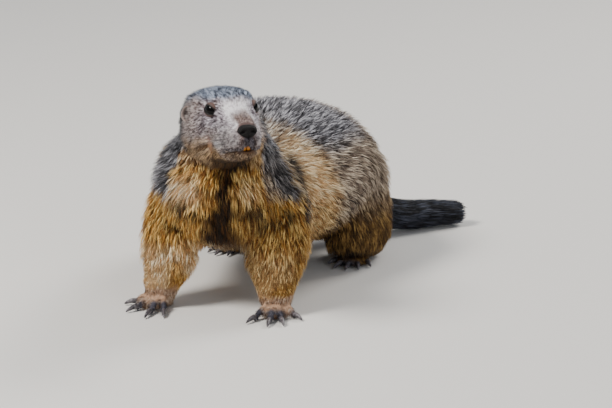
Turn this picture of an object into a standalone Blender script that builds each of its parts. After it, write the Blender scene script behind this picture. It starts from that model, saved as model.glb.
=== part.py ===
"""Alpine marmot, life size: it stands on four feet with its back arched, its head raised and turned to
its left, and its tail held low. Metres, +Z up, floor at z = 0. The animal faces -Y and its left is +X.

Trunk, neck, upper legs and the root of the tail are modelled whole and parted with thin cuts. The head,
the feet, the tail, the ears, eyes, nose, teeth and claws are built on their own and set into them."""

import itertools
import math
import random

import bmesh
import bpy
import numpy as np
from mathutils import Matrix, Vector
from mathutils.bvhtree import BVHTree

# Driving dimensions
GAP = 0.0003  # left between two nodes that touch
FAR = 0.6  # reach of a half-space cutter
FLOOR_SINK = 0.0012  # how far soles are made below the floor before they are cut flat

# Trunk: x, y, z of the section's centre, half width, height above the centre, depth below it
TRUNK = (
    (0.024, -0.186, 0.100, 0.012, 0.012, 0.012),
    (0.022, -0.180, 0.102, 0.036, 0.034, 0.030),
    (0.018, -0.163, 0.108, 0.058, 0.052, 0.046),
    (0.011, -0.137, 0.113, 0.073, 0.062, 0.056),
    (0.001, -0.078, 0.114, 0.085, 0.069, 0.072),
    (-0.004, -0.018, 0.110, 0.096, 0.078, 0.082),
    (-0.004, 0.042, 0.104, 0.102, 0.076, 0.082),
    (-0.001, 0.090, 0.097, 0.097, 0.071, 0.077),
    (0.005, 0.126, 0.088, 0.077, 0.056, 0.063),
    (0.009, 0.146, 0.080, 0.050, 0.038, 0.044),
    (0.010, 0.158, 0.076, 0.015, 0.012, 0.014),
)
# Neck, from inside the shoulders up into the head
NECK = (
    (0.006, -0.098, 0.112, 0.070, 0.050, 0.050),
    (0.010, -0.118, 0.136, 0.072, 0.048, 0.052),
    (0.015, -0.134, 0.158, 0.060, 0.042, 0.052),
    (0.021, -0.148, 0.180, 0.048, 0.034, 0.046),
    (0.027, -0.161, 0.200, 0.040, 0.028, 0.036),
    (0.033, -0.176, 0.213, 0.026, 0.016, 0.020),
)
# Forelegs, from inside the shoulder down to the wrist: x, y, z, half width, half depth forward and back
FORELEG_LEFT = (
    (0.046, -0.108, 0.135, 0.024, 0.024, 0.026),
    (0.056, -0.112, 0.112, 0.036, 0.034, 0.036),
    (0.062, -0.118, 0.088, 0.038, 0.032, 0.036),
    (0.065, -0.126, 0.064, 0.0370, 0.029, 0.034),
    (0.069, -0.135, 0.042, 0.0290, 0.023, 0.026),
    (0.072, -0.142, 0.026, 0.0215, 0.0175, 0.0190),
    (0.074, -0.147, 0.012, 0.0165, 0.0145, 0.0150),
)
FORELEG_RIGHT = (
    (-0.020, -0.126, 0.135, 0.024, 0.024, 0.026),
    (-0.030, -0.138, 0.112, 0.035, 0.034, 0.036),
    (-0.038, -0.146, 0.088, 0.035, 0.032, 0.036),
    (-0.040, -0.153, 0.064, 0.033, 0.027, 0.032),
    (-0.042, -0.158, 0.042, 0.0280, 0.022, 0.025),
    (-0.045, -0.162, 0.026, 0.0205, 0.0170, 0.0185),
    (-0.047, -0.165, 0.012, 0.0158, 0.0140, 0.0145),
)
# Hind legs, from inside the haunch down to the ankle, given for the left side
HIND_SHIFT = -0.004  # the rump's middle in x, about which the hind legs are mirrored
HINDLEG = (
    (0.042, 0.082, 0.122, 0.034, 0.036, 0.036),
    (0.054, 0.080, 0.096, 0.044, 0.054, 0.048),
    (0.060, 0.080, 0.070, 0.041, 0.056, 0.048),
    (0.063, 0.084, 0.045, 0.038, 0.050, 0.046),
    (0.063, 0.092, 0.026, 0.033, 0.038, 0.038),
    (0.062, 0.098, 0.010, 0.021, 0.024, 0.028),
)
# Tail, from inside the rump to its blunt end
TAIL = (
    (0.004, 0.118, 0.074, 0.030, 0.028, 0.028),
    (0.012, 0.142, 0.062, 0.0240, 0.0225, 0.0225),
    (0.033, 0.176, 0.037, 0.0200, 0.0190, 0.0190),
    (0.057, 0.209, 0.0205, 0.0185, 0.0180, 0.0190),
    (0.083, 0.242, 0.0170, 0.0165, 0.0165, 0.0165),
    (0.103, 0.262, 0.0155, 0.0135, 0.0135, 0.0140),
    (0.114, 0.273, 0.0140, 0.0080, 0.0080, 0.0080),
    (0.117, 0.276, 0.0135, 0.0025, 0.0025, 0.0025),
)
TAIL_CUT = 0.022  # how far along the path from its second station the tail leaves the rump

TAIL_CORE = 0.52  # the tail's solid core as a share of its outline, which the locks fill
TAIL_LOCK = (0.048, 0.0165, 0.0050)  # length, width, thickness of a lock of the tail
TAIL_RINGS = 6
TAIL_LOCKS_ROUND = 6
TAIL_LOCK_LIFT = 0.03
TAIL_SPREAD = 0.97  # how far out the tips of the locks reach, as a share of the tail's outline
TAIL_STEPS = 60

# Locks of the body's coat, laid on by rays that fan out from a line inside the body. Name, sides,
# line from and to, azimuth of the rays (0 is ahead, 90 is to the side), their elevation, rows and locks
# in a row, the way that the locks lie, length and width
COAT_LOCKS = (
    ("chest", (1,), (0.016, -0.135, 0.140), (0.014, -0.140, 0.090), (-62, 84), (4, -8), 3, 4,
     (0.1, -0.3, -1), 0.036, 0.015),
    ("elbow_left", (1,), (0.064, -0.120, 0.090), (0.069, -0.135, 0.048), (15, 190), (0, 0), 2, 5,
     (0.1, 0.35, -1), 0.030, 0.013),
    ("elbow_right", (-1,), (-0.038, -0.147, 0.090), (-0.041, -0.157, 0.048), (15, 190), (0, 0), 2, 5,
     (0.1, 0.35, -1), 0.030, 0.013),
    ("flank", (1, -1), (-0.002, -0.050, 0.095), (-0.002, 0.060, 0.085), (90, 90), (-30, -44), 5, 1,
     (0.05, 0.9, -0.45), 0.038, 0.016),
    ("haunch", (1, -1), (-0.002, 0.075, 0.105), (-0.002, 0.085, 0.058), (88, 128), (6, -2), 2, 3,
     (0.0, 0.7, -0.8), 0.036, 0.016),
    ("seat", (1,), (0.000, 0.100, 0.105), (0.000, 0.100, 0.080), (150, 222), (4, -4), 2, 3,
     (0.0, 0.3, -1), 0.030, 0.015),
)
LOCK_THICKNESS = 0.0046
LOCK_LIFT = 0.16  # rise of a lock's tip off the coat as a share of its length
LOCK_SINK = 0.0035
LOCK_PROFILE = ((0.0, 0.75), (0.38, 1.0), (0.74, 0.66))  # share of the length, share of the width
LOCK_JITTER = 0.22
WAY_JITTER = 0.15
SEED = 11

# Head: its centre lies between the ears; lengths below are forward, left and up from it
HEAD_CENTRE = Vector((0.0240, -0.170, 0.211))
HEAD_YAW = math.radians(43)
HEAD_PITCH = math.radians(12)
HEAD_SQUARENESS = 2.55  # 2 gives elliptical sections, more gives a broader, flatter crown
# forward, height of the section's centre, half width, height above it, depth below it
HEAD = (
    (-0.036, -0.013, 0.012, 0.010, 0.012),
    (-0.032, -0.013, 0.026, 0.0235, 0.027),
    (-0.018, -0.015, 0.0370, 0.0360, 0.036),
    (0.000, -0.016, 0.0380, 0.0397, 0.0390),
    (0.018, -0.017, 0.0362, 0.0400, 0.0390),
    (0.033, -0.018, 0.0300, 0.0372, 0.0370),
    (0.047, -0.022, 0.0240, 0.0322, 0.0320),
    (0.061, -0.026, 0.0205, 0.0262, 0.0250),
    (0.075, -0.028, 0.0172, 0.0205, 0.0190),
    (0.085, -0.027, 0.0130, 0.0160, 0.0105),
    (0.0895, -0.026, 0.0060, 0.0080, 0.0060),
)
# Swellings of the head: forward, left, up, then the three half sizes; those off the middle are mirrored
CHEEK = (0.010, 0.0185, -0.028, 0.034, 0.0190, 0.0235)
BROW = (0.031, 0.0155, 0.0095, 0.0170, 0.0090, 0.0092)
WHISKER_PAD = (0.069, 0.0090, -0.0270, 0.0145, 0.0098, 0.0105)
CHIN = (0.061, 0.0, -0.0430, 0.0150, 0.0105, 0.0075)
EYE_CENTRE = (0.0400, 0.0190, 0.0012)
EYE_RADIUS = 0.0078
LID_LOOK = (0.54, 0.83, 0.14)  # the way the opening of the lids faces
LID_RADIUS = 0.0067
LID_THICKNESS = 0.0015
LID_STEPS = 16
LID_SQUEEZE = 0.84  # height of the opening as a share of its width
NOSE_CENTRE = (0.0850, 0.0, -0.0210)
NOSE_SIZE = (0.0062, 0.0088, 0.0066)
NOSE_PROFILE = ((-1.0, 0.35, 0.35), (-0.6, 0.85, 0.85), (0.0, 1.0, 1.0), (0.6, 0.88, 0.86), (1.0, 0.45, 0.42))
NOSTRIL = (0.0912, 0.0042, -0.0208)
NOSTRIL_SIZE = (0.0030, 0.0016, 0.0022)
MOUTH_UP = -0.0405
MOUTH_RADIUS = 0.0014
MOUTH_REACH = 0.050  # how far forward of the head's centre the corners of the mouth lie
MOUTH_TURN = 0.0030  # how far the corners rise
MOUTH_SWEEP = math.radians(96)  # turn from the middle of the mouth to a corner
MOUTH_STEPS = 17
CLEFT_RADIUS = 0.0010
GAPE_CENTRE = (0.0795, 0.0, -0.0380)
GAPE_SIZE = (0.0080, 0.0050, 0.0036)
INCISOR = (0.0016, 0.0019, 0.0068)  # half depth, half width, length
INCISOR_PROFILE = ((0.0, 0.0, 1.0), (0.35, 0.0006, 1.0), (0.7, 0.0006, 0.95), (1.0, -0.0002, 0.55))
INCISOR_SET_BACK = 0.0022
INCISOR_ASIDE = 0.0002  # half the gap between the two teeth
INCISOR_ROOT = 0.0078  # how far the root lies above the line of the mouth
EAR_CENTRE = (0.0010, 0.0380, -0.0050)
EAR_SIZE = (0.0076, 0.0088)  # half width and half height of the cup
EAR_DEPTH = 0.0050
EAR_WALL = 0.0018
EAR_SOCKET = 0.010  # how far the hollow for the ear is cleared ahead of its rim
EAR_FACE = (0.42, 0.88, 0.12)  # the way the cup opens
EAR_RINGS = 3
EAR_SIDES = 14
EAR_LOBE = 0.10  # how much taller the cup is above its middle than below

# Cuts between the nodes of the body
HEAD_CUT = (-0.016, 0.0, -0.020)
HEAD_CUT_NORMAL = (0.92, 0.0, 0.39)
NECK_CUT = Vector((0.015, -0.152, 0.158))
NECK_CUT_NORMAL = Vector((0.14, -0.45, 0.88))
CHEST_END = -0.056
ABDOMEN_END = 0.044
LEG_TOP = 0.086
HAUNCH_TOP = 0.070
WRIST_TOP = 0.0190
SHOULDER_TURN = math.radians(15)
SHOULDER_POINT = (0.013, -0.140, 0)
LEG_FOOT = -0.02
# Boxes that part the legs from the body: two corners, then the sides of each corner that face the body
LEG_BOXES = {
    "foreleg_left": ((0.030, -0.220, LEG_FOOT), (0.140, -0.075, LEG_TOP), (1, 0, 0), (0, 1, 1)),
    "foreleg_right": ((-0.130, -0.240, LEG_FOOT), (-0.004, -0.090, LEG_TOP), (0, 0, 0), (1, 1, 1)),
    "hindleg_left": ((0.026, 0.020, LEG_FOOT), (0.150, 0.138, HAUNCH_TOP), (1, 1, 0), (0, 1, 1)),
    "hindleg_right": ((-0.150, 0.020, LEG_FOOT), (-0.034, 0.150, HAUNCH_TOP), (0, 1, 0), (1, 1, 1)),
}

# Feet: the palm or sole and the digits, measured from the wrist or ankle along the foot's own axis
FORE_PALM = (0.0150, 0.0138, 0.0130)  # distance ahead of the wrist, half width, height
FORE_FANS = ((-34.0, -8.0, 9.0, 40.0), (-50.0, -30.0, 2.0, 40.0))  # degrees, inner digit first
# Lengths on the floor: the outer digits of the right paw are drawn up, so they reach less far
FORE_LENGTHS = ((0.0225, 0.0270, 0.0235, 0.0150), (0.0225, 0.0260, 0.0190, 0.0135))
FORE_CLAWS = (0.0140, 0.0150, 0.0140, 0.0110)
FORE_TURNS = (math.radians(24), math.radians(-24))  # left paw, right paw
HIND_SOLE = (0.0330, 0.0135, 0.0120)
HIND_FAN = (-34.0, -15.0, 1.0, 17.0, 36.0)
HIND_LENGTHS = (0.0150, 0.0200, 0.0215, 0.0195, 0.0140)
HIND_CLAWS = (0.0110, 0.0130, 0.0135, 0.0125, 0.0105)
HIND_TURN = math.radians(8)
HEEL = {"forepaw": 0.010, "hindfoot": 0.020}  # how far the foot reaches behind the wrist or ankle
KNUCKLE = {"forepaw": 0.0102, "hindfoot": 0.0080}  # height of the first joint of each digit
CUFF = ((0.005, 0.66), (0.011, 0.86), (0.023, 1.04), (0.029, 1.10))  # height and share of the leg's size
# Palm or sole from the heel to the root of the digits: share of the length, of the half width, of the height
PALM_PROFILE = (
    (-0.05, 0.45, 0.55),
    (0.10, 0.80, 0.90),
    (0.45, 0.92, 1.00),
    (0.80, 1.05, 0.95),
    (1.00, 0.92, 0.75),
    (1.06, 0.50, 0.40),
)
PALM_RISE = 0.42  # height of the palm's widest section as a share of its own height
FAN_WIDTH = 0.82 / math.sin(math.radians(42))  # spread of the digits' roots over the palm's half width
DIGIT_RADIUS = 0.0043
# Digit: share of the length, share of the way up to the knuckle, share of the radius
DIGIT_PROFILE = ((0.0, 1.0, 1.14), (0.3, 1.0, 1.06), (0.65, 0.5, 0.98), (0.9, 0.0, 0.92), (1.0, -0.03, 0.6))
CLAW_RADIUS = 0.0030
CLAW_ROOT = 0.0042  # height of a claw's root over the floor
# Claw: share of the length, rise, share of the radius
CLAW_PROFILE = (
    (-0.30, 0.0010, 0.75),
    (0.00, 0.0016, 1.00),
    (0.30, 0.0018, 0.94),
    (0.60, 0.0006, 0.72),
    (0.85, -0.0013, 0.44),
    (1.00, -0.0026, 0.15),
)
CLAW_SIDES = 6
CLAW_RINGS = 5

# Triangles kept after smoothing
BODY_TRIANGLES = 2500
HEAD_TRIANGLES = 1800
FOOT_TRIANGLES = 400


def clear_scene():
    for obj in list(bpy.data.objects):
        bpy.data.objects.remove(obj)


def material(name, colour, roughness):
    made = bpy.data.materials.new(name)
    made.use_nodes = True
    shader = made.node_tree.nodes["Principled BSDF"]
    shader.inputs["Base Color"].default_value = (*colour, 1.0)
    shader.inputs["Roughness"].default_value = roughness
    shader.inputs["Metallic"].default_value = 0.0
    return made


def add_object(name, mesh):
    obj = bpy.data.objects.new(name, mesh)
    bpy.context.scene.collection.objects.link(obj)
    return obj


def from_bmesh(name, bm):
    bmesh.ops.recalc_face_normals(bm, faces=bm.faces)
    mesh = bpy.data.meshes.new(name)
    bm.to_mesh(mesh)
    bm.free()
    return add_object(name, mesh)


def baked(obj):
    """Replaces an object's mesh by the one its modifiers make."""
    bpy.context.view_layer.update()
    graph = bpy.context.evaluated_depsgraph_get()
    mesh = bpy.data.meshes.new_from_object(obj.evaluated_get(graph), depsgraph=graph)
    obj.modifiers.clear()
    obj.data = mesh
    return obj


def copy_of(obj, name):
    return add_object(name, obj.data.copy())


def smooth_rows(stations, count):
    """A Catmull-Rom curve through the rows of a station table, read at count even steps."""
    rows = np.array(stations, float)
    padded = np.vstack([2 * rows[0] - rows[1], rows, 2 * rows[-1] - rows[-2]])
    steps = np.linspace(0, len(rows) - 1, count)
    index = np.minimum(steps.astype(int), len(rows) - 2)
    t = (steps - index)[:, None]
    a, b, c, d = (padded[index + k] for k in range(4))
    return 0.5 * (2 * b + (c - a) * t + (2 * a - 5 * b + 4 * c - d) * t**2 + (3 * b - 3 * c + d - a) * t**3)


def loft(name, stations, upward, sides=24, rings=24, square=2.0, grow=0.0):
    """A closed body whose rounded sections stand across a curve through the stations' centres."""
    rows = smooth_rows(stations, rings)
    centres = rows[:, :3]
    along = np.gradient(centres, axis=0)
    along /= np.linalg.norm(along, axis=1)[:, None]
    high = np.array(upward) - (along @ np.array(upward))[:, None] * along
    high /= np.linalg.norm(high, axis=1)[:, None]
    wide = np.cross(along, high)
    bm = bmesh.new()
    loops = []
    for k in range(rings):
        half_width, above, below = np.maximum(rows[k, 3:6], 0.0008) + grow
        loop = []
        for s in range(sides):
            turn = math.tau * s / sides
            across = math.copysign(abs(math.cos(turn)) ** (2 / square), math.cos(turn))
            rise = math.copysign(abs(math.sin(turn)) ** (2 / square), math.sin(turn))
            height = above if rise > 0 else below
            point = centres[k] + wide[k] * half_width * across + high[k] * height * rise
            loop.append(bm.verts.new(point))
        loops.append(loop)
    for first, second in zip(loops, loops[1:]):
        for s in range(sides):
            t = (s + 1) % sides
            bm.faces.new((first[s], first[t], second[t], second[s]))
    bm.faces.new(loops[0][::-1])
    bm.faces.new(loops[-1])
    return from_bmesh(name, bm)


def ellipsoid(name, centre, sizes, axes, segments=20, rings=12):
    """A closed ellipsoid with its half sizes along the three given axes."""
    bm = bmesh.new()
    bmesh.ops.create_uvsphere(bm, u_segments=segments, v_segments=rings, radius=1.0)
    turn = Matrix([axes[0] * sizes[0], axes[1] * sizes[1], axes[2] * sizes[2]]).transposed()
    bmesh.ops.transform(bm, matrix=Matrix.Translation(centre) @ turn.to_4x4(), verts=bm.verts)
    return from_bmesh(name, bm)


def block(name, low, high, turn=0.0, about=(0, 0, 0)):
    """A box between two corners, turned about a vertical line through a point."""
    bm = bmesh.new()
    bmesh.ops.create_cube(bm, size=1.0)
    size = Vector(high) - Vector(low)
    middle = (Vector(high) + Vector(low)) / 2
    place = Matrix.Translation(middle) @ Matrix.Diagonal((*size, 1))
    spin = Matrix.Translation(about) @ Matrix.Rotation(turn, 4, "Z") @ Matrix.Translation(-Vector(about))
    bmesh.ops.transform(bm, matrix=spin @ place, verts=bm.verts)
    return from_bmesh(name, bm)


def half_space(name, point, normal, back=0.0):
    """A large box on the side of a plane that its normal points to, held back from it."""
    normal = Vector(normal).normalized()
    turn = normal.to_track_quat("Z", "Y").to_matrix().to_4x4()
    bm = bmesh.new()
    bmesh.ops.create_cube(bm, size=1.0)
    place = Matrix.Translation(Vector((0, 0, FAR / 2 + back))) @ Matrix.Diagonal((2 * FAR, 2 * FAR, FAR, 1))
    bmesh.ops.transform(bm, matrix=Matrix.Translation(point) @ turn @ place, verts=bm.verts)
    return from_bmesh(name, bm)


def joined(name, pieces):
    """One mesh of several overlapping closed pieces, which are removed."""
    bm = bmesh.new()
    for piece in pieces:
        bm.from_mesh(piece.data)
        bpy.data.objects.remove(piece)
    mesh = bpy.data.meshes.new(name)
    bm.to_mesh(mesh)
    bm.free()
    return add_object(name, mesh)


def fused(name, pieces, voxel, rounds, triangles):
    """Melts overlapping pieces into one skin, smooths the creases between them and thins the faces."""
    obj = joined(name, pieces)
    remesh = obj.modifiers.new("melt", "REMESH")
    remesh.mode = "VOXEL"
    remesh.voxel_size = voxel
    soften = obj.modifiers.new("soften", "SMOOTH")
    soften.factor = 0.5
    soften.iterations = rounds
    baked(obj)
    thin = obj.modifiers.new("thin", "DECIMATE")
    thin.ratio = min(1.0, triangles / (2 * len(obj.data.polygons)))
    return baked(obj)


def boolean(obj, other, operation, solver="EXACT"):
    cut = obj.modifiers.new("cut", "BOOLEAN")
    cut.operation = operation
    cut.solver = solver
    cut.object = other
    baked(obj)


def keep_largest(obj):
    """Drops every closed surface of the object except the largest."""
    bm = bmesh.new()
    bm.from_mesh(obj.data)
    left = set(bm.verts)
    shells = []
    while left:
        shell = set()
        front = [left.pop()]
        while front:
            vert = front.pop()
            shell.add(vert)
            for edge in vert.link_edges:
                other = edge.other_vert(vert)
                if other in left:
                    left.discard(other)
                    front.append(other)
        shells.append(shell)
    shells.sort(key=len)
    for shell in shells[:-1]:
        bmesh.ops.delete(bm, geom=list(shell), context="VERTS")
    bm.to_mesh(obj.data)
    bm.free()


def carved(obj, keep=(), remove=(), solver="EXACT"):
    """Cuts an object to the inside of some cutters and the outside of others, which are all removed."""
    for cutter in keep:
        boolean(obj, cutter, "INTERSECT", solver)
    for cutter in remove:
        boolean(obj, cutter, "DIFFERENCE", solver)
    for cutter in (*keep, *remove):
        bpy.data.objects.remove(cutter)
    keep_largest(obj)
    return obj


def finish(obj, look):
    obj.data.materials.clear()
    obj.data.materials.append(look)
    obj.data.shade_smooth()
    obj.data.set_sharp_from_angle(angle=math.radians(50))
    return obj


# The head's own directions
HEAD_FORWARD = Vector(
    (
        math.sin(HEAD_YAW) * math.cos(HEAD_PITCH),
        -math.cos(HEAD_YAW) * math.cos(HEAD_PITCH),
        math.sin(HEAD_PITCH),
    )
)
HEAD_LEFT = Vector((math.cos(HEAD_YAW), math.sin(HEAD_YAW), 0.0))
HEAD_UP = HEAD_FORWARD.cross(HEAD_LEFT)
HEAD_AXES = (HEAD_FORWARD, HEAD_LEFT, HEAD_UP)


def head_way(forward, left, up):
    return HEAD_FORWARD * forward + HEAD_LEFT * left + HEAD_UP * up


def head_point(forward, left, up):
    return HEAD_CENTRE + head_way(forward, left, up)


def head_ellipsoid(name, form, side=1, sides=20):
    forward, left, up, *sizes = form
    return ellipsoid(name, head_point(forward, left * side, up), sizes, HEAD_AXES, sides, sides // 2 + 2)


def lock(root, way, out, length, width, thickness, lift):
    """One flat, tapered lock that leaves its root along way, rises off the coat and bends back to it."""
    side = out.cross(way).normalized()
    bm = bmesh.new()
    loops = []
    for t, share in LOCK_PROFILE:
        middle = root + way * length * t + out * (lift * length * (1.6 * t - 0.6 * t * t))
        wide = side * width * share / 2
        thick = out * thickness * share / 2
        loops.append([bm.verts.new(middle + step) for step in (wide, thick, -wide, -thick)])
    tip = bm.verts.new(root + way * length + out * lift * length)
    for first, second in zip(loops, loops[1:]):
        for k in range(4):
            bm.faces.new((first[k], first[(k + 1) % 4], second[(k + 1) % 4], second[k]))
    for k in range(4):
        bm.faces.new((loops[-1][k], loops[-1][(k + 1) % 4], tip))
    bm.faces.new(loops[0][::-1])
    return from_bmesh("lock", bm)


def united(obj, locks):
    """Joins a node's locks to it by one Boolean union and drops any loose scrap."""
    group = bpy.data.collections.new("locks")
    bpy.context.scene.collection.children.link(group)
    for piece in locks:
        bpy.context.scene.collection.objects.unlink(piece)
        group.objects.link(piece)
    join = obj.modifiers.new("locks", "BOOLEAN")
    join.operation = "UNION"
    join.operand_type = "COLLECTION"
    join.collection = group
    baked(obj)
    for piece in locks:
        bpy.data.objects.remove(piece)
    bpy.data.collections.remove(group)
    keep_largest(obj)
    return obj


def coat_locks(whole, draw):
    """Lays the locks of every part of the coat on the melted body."""
    tree = surface_tree(whole)
    locks = []
    for _, sides, start, end, azimuths, elevations, rows, count, lie, length, width in COAT_LOCKS:
        for side, r, k in itertools.product(sides, range(rows), range(count)):
            along = (r + 0.5) / rows
            share = (k + 0.5 + 0.25 * (r % 2) + draw.uniform(-1, 1) * LOCK_JITTER) / count
            rise = math.radians(elevations[0] + (elevations[1] - elevations[0]) * along)
            azimuth = math.radians(azimuths[0] + (azimuths[1] - azimuths[0]) * share) * side
            ray = Vector((math.sin(azimuth), -math.cos(azimuth), math.tan(rise)))
            point, normal, _, _ = tree.ray_cast(Vector(start).lerp(Vector(end), along), ray)
            stray = Vector([draw.uniform(-1, 1) * WAY_JITTER for _ in "xyz"])
            way = Vector((lie[0] * side, lie[1], lie[2])) + stray
            way = (way - normal * way.dot(normal)).normalized()
            size = 1 + draw.uniform(-1, 1) * LOCK_JITTER
            root = point - normal * LOCK_SINK
            locks.append(lock(root, way, normal, length * size, width * size, LOCK_THICKNESS, LOCK_LIFT))
    return locks


def tail_with_locks(draw):
    """The tail's slim core and the rings of long locks that fill its outline out to the tips."""
    rows = smooth_rows(TAIL, TAIL_STEPS)
    slim = [(x, y, z, w * TAIL_CORE, a * TAIL_CORE, b * TAIL_CORE) for x, y, z, w, a, b in TAIL]
    core = loft("tail", slim[1:], (0, 0, 1), 9, 12)
    length, width, thickness = TAIL_LOCK
    run = np.concatenate([[0], np.cumsum(np.linalg.norm(np.diff(rows[:, :3], axis=0), axis=1))])
    root_run = np.interp(1.0, np.linspace(0, len(TAIL) - 1, TAIL_STEPS), run)
    locks = []
    for reach in np.linspace(root_run + 0.018, run[-1] - length * 0.72, TAIL_RINGS):
        k = int(np.searchsorted(run, reach))
        far = int(np.searchsorted(run, min(reach + length * 0.9, run[-1] - 0.004)))
        centre = Vector(rows[k, :3])
        ahead = (Vector(rows[min(k + 3, TAIL_STEPS - 1), :3]) - centre).normalized()
        up = (Vector((0, 0, 1)) - ahead * ahead.z).normalized()
        side = ahead.cross(up)
        start_turn = draw.uniform(0, math.tau)
        for n in range(TAIL_LOCKS_ROUND):
            turn = start_turn + math.tau * n / TAIL_LOCKS_ROUND
            out = side * math.cos(turn) + up * math.sin(turn)
            root = centre + out * (rows[k, 3] * TAIL_CORE - LOCK_SINK)
            way = Vector(rows[far, :3]) + out * rows[far, 3] * TAIL_SPREAD - root
            size = 1 + draw.uniform(-1, 1) * LOCK_JITTER / 2
            along = way.normalized()
            flat = (out - along * out.dot(along)).normalized()
            locks.append(lock(root, along, flat, way.length * size, width * size, thickness, TAIL_LOCK_LIFT))
    return united(core, locks)


def mirrored(stations):
    """The right side's stations from the left side's, about the middle of the rump."""
    return tuple((2 * HIND_SHIFT - x, *rest) for x, *rest in stations)


def trunk_pieces():
    """The overlapping forms that melt into trunk, neck, upper legs and the root of the tail."""
    up = (0, 0, 1)
    ahead = (0, -1, 0)
    return [
        loft("trunk", TRUNK, up, 32, 60),
        loft("neck", NECK, (0, 0.9, 0.5), 28, 30),
        loft("foreleg_left", FORELEG_LEFT, ahead, 24, 30),
        loft("foreleg_right", FORELEG_RIGHT, ahead, 24, 30),
        loft("hindleg_left", HINDLEG, ahead, 24, 30),
        loft("hindleg_right", mirrored(HINDLEG), ahead, 24, 30),
        loft("tail_root", TAIL[:4], up, 20, 20),
    ]


def head_stations():
    return [(*head_point(f, 0.0, c), w, above, below) for f, c, w, above, below in HEAD]


def head_pieces():
    """The skull's form with its cheeks, brows, whisker pads and chin, and the neck that it grows from."""
    pieces = [
        loft("head_form", head_stations(), HEAD_UP, 32, 44, square=HEAD_SQUARENESS),
        loft("neck_form", NECK, (0, 0.9, 0.5), 28, 30),
        head_ellipsoid("chin", CHIN),
    ]
    for side, form in itertools.product((1, -1), (CHEEK, BROW, WHISKER_PAD)):
        pieces.append(head_ellipsoid("swelling", form, side))
    return pieces


def lid_ring(side):
    """The rim of both lids, a ring round the way in which the eye looks."""
    look = head_way(LID_LOOK[0], LID_LOOK[1] * side, LID_LOOK[2]).normalized()
    centre = head_point(EYE_CENTRE[0], EYE_CENTRE[1] * side, EYE_CENTRE[2])
    rise = math.sqrt(EYE_RADIUS**2 - LID_RADIUS**2)
    across = look.cross(HEAD_UP).normalized()
    high = across.cross(look).normalized()
    bm = bmesh.new()
    loops = []
    for s in range(LID_STEPS):
        turn = math.tau * s / LID_STEPS
        out = across * math.cos(turn) + high * math.sin(turn) * LID_SQUEEZE
        middle = centre + look * (rise + 0.0004) + out * LID_RADIUS
        loop = []
        for r in range(6):
            roll = math.tau * r / 6
            loop.append(bm.verts.new(middle + LID_THICKNESS * (out * math.cos(roll) + look * math.sin(roll))))
        loops.append(loop)
    for s in range(LID_STEPS):
        first, second = loops[s], loops[(s + 1) % LID_STEPS]
        for r in range(6):
            q = (r + 1) % 6
            bm.faces.new((first[r], first[q], second[q], second[r]))
    return from_bmesh("lid", bm)


def eyeball(name, side, grow=0.0):
    centre = head_point(EYE_CENTRE[0], EYE_CENTRE[1] * side, EYE_CENTRE[2])
    size = EYE_RADIUS + grow
    return ellipsoid(name, centre, (size, size, size), HEAD_AXES, 12, 8)


def nose_form(name, grow=0.0):
    """The bare pad at the tip of the muzzle: wide above, drawn in below."""
    half_length, half_width, half_height = NOSE_SIZE
    stations = []
    for step, width, height in NOSE_PROFILE:
        place = head_point(NOSE_CENTRE[0] + step * half_length, 0.0, NOSE_CENTRE[2])
        tall = half_height * height
        stations.append((*place, half_width * width, tall * 0.85, tall * 1.15))
    return loft(name, stations, HEAD_UP, 14, 8, square=2.3, grow=grow)


def incisor_form(name, side, grow=0.0):
    """One upper front tooth, a curved chisel whose root is sunk in the roof of the gape."""
    half_depth, half_width, length = INCISOR
    aside = side * (half_width + INCISOR_ASIDE)
    root = head_point(GAPE_CENTRE[0] - INCISOR_SET_BACK, aside, MOUTH_UP + INCISOR_ROOT)
    stations = []
    for t, ahead, share in INCISOR_PROFILE:
        point = root + HEAD_FORWARD * ahead - HEAD_UP * length * t
        stations.append((*point, half_width, half_depth * share, half_depth * share))
    return loft(name, stations, HEAD_FORWARD, 6, 5, square=3.0, grow=grow)


def surface_tree(obj):
    bm = bmesh.new()
    bm.from_mesh(obj.data)
    tree = BVHTree.FromBMesh(bm)
    bm.free()
    return tree


def mouth_line(tree):
    """The cutter for the line of the mouth: a thin tube that runs round the muzzle on its surface."""
    stations = []
    for angle in np.linspace(-MOUTH_SWEEP, MOUTH_SWEEP, MOUTH_STEPS):
        rise = MOUTH_TURN * (1 - math.cos(angle))
        way = head_way(math.cos(angle), math.sin(angle), 0.0)
        point = tree.ray_cast(head_point(MOUTH_REACH, 0.0, MOUTH_UP + rise), way)[0]
        radius = MOUTH_RADIUS * (0.55 + 0.45 * math.cos(angle))
        stations.append((*point, radius, radius, radius))
    return loft("mouth_line", stations, HEAD_UP, 8, 40)


def lip_cleft(tree):
    """The cutter for the short groove from the nose down to the mouth."""
    stations = []
    for up in np.linspace(NOSE_CENTRE[2] - NOSE_SIZE[2], MOUTH_UP, 4):
        point = tree.ray_cast(head_point(MOUTH_REACH, 0.0, up), HEAD_FORWARD)[0]
        stations.append((*point, CLEFT_RADIUS, CLEFT_RADIUS, CLEFT_RADIUS))
    return loft("lip_cleft", stations, HEAD_FORWARD, 8, 12)


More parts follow.
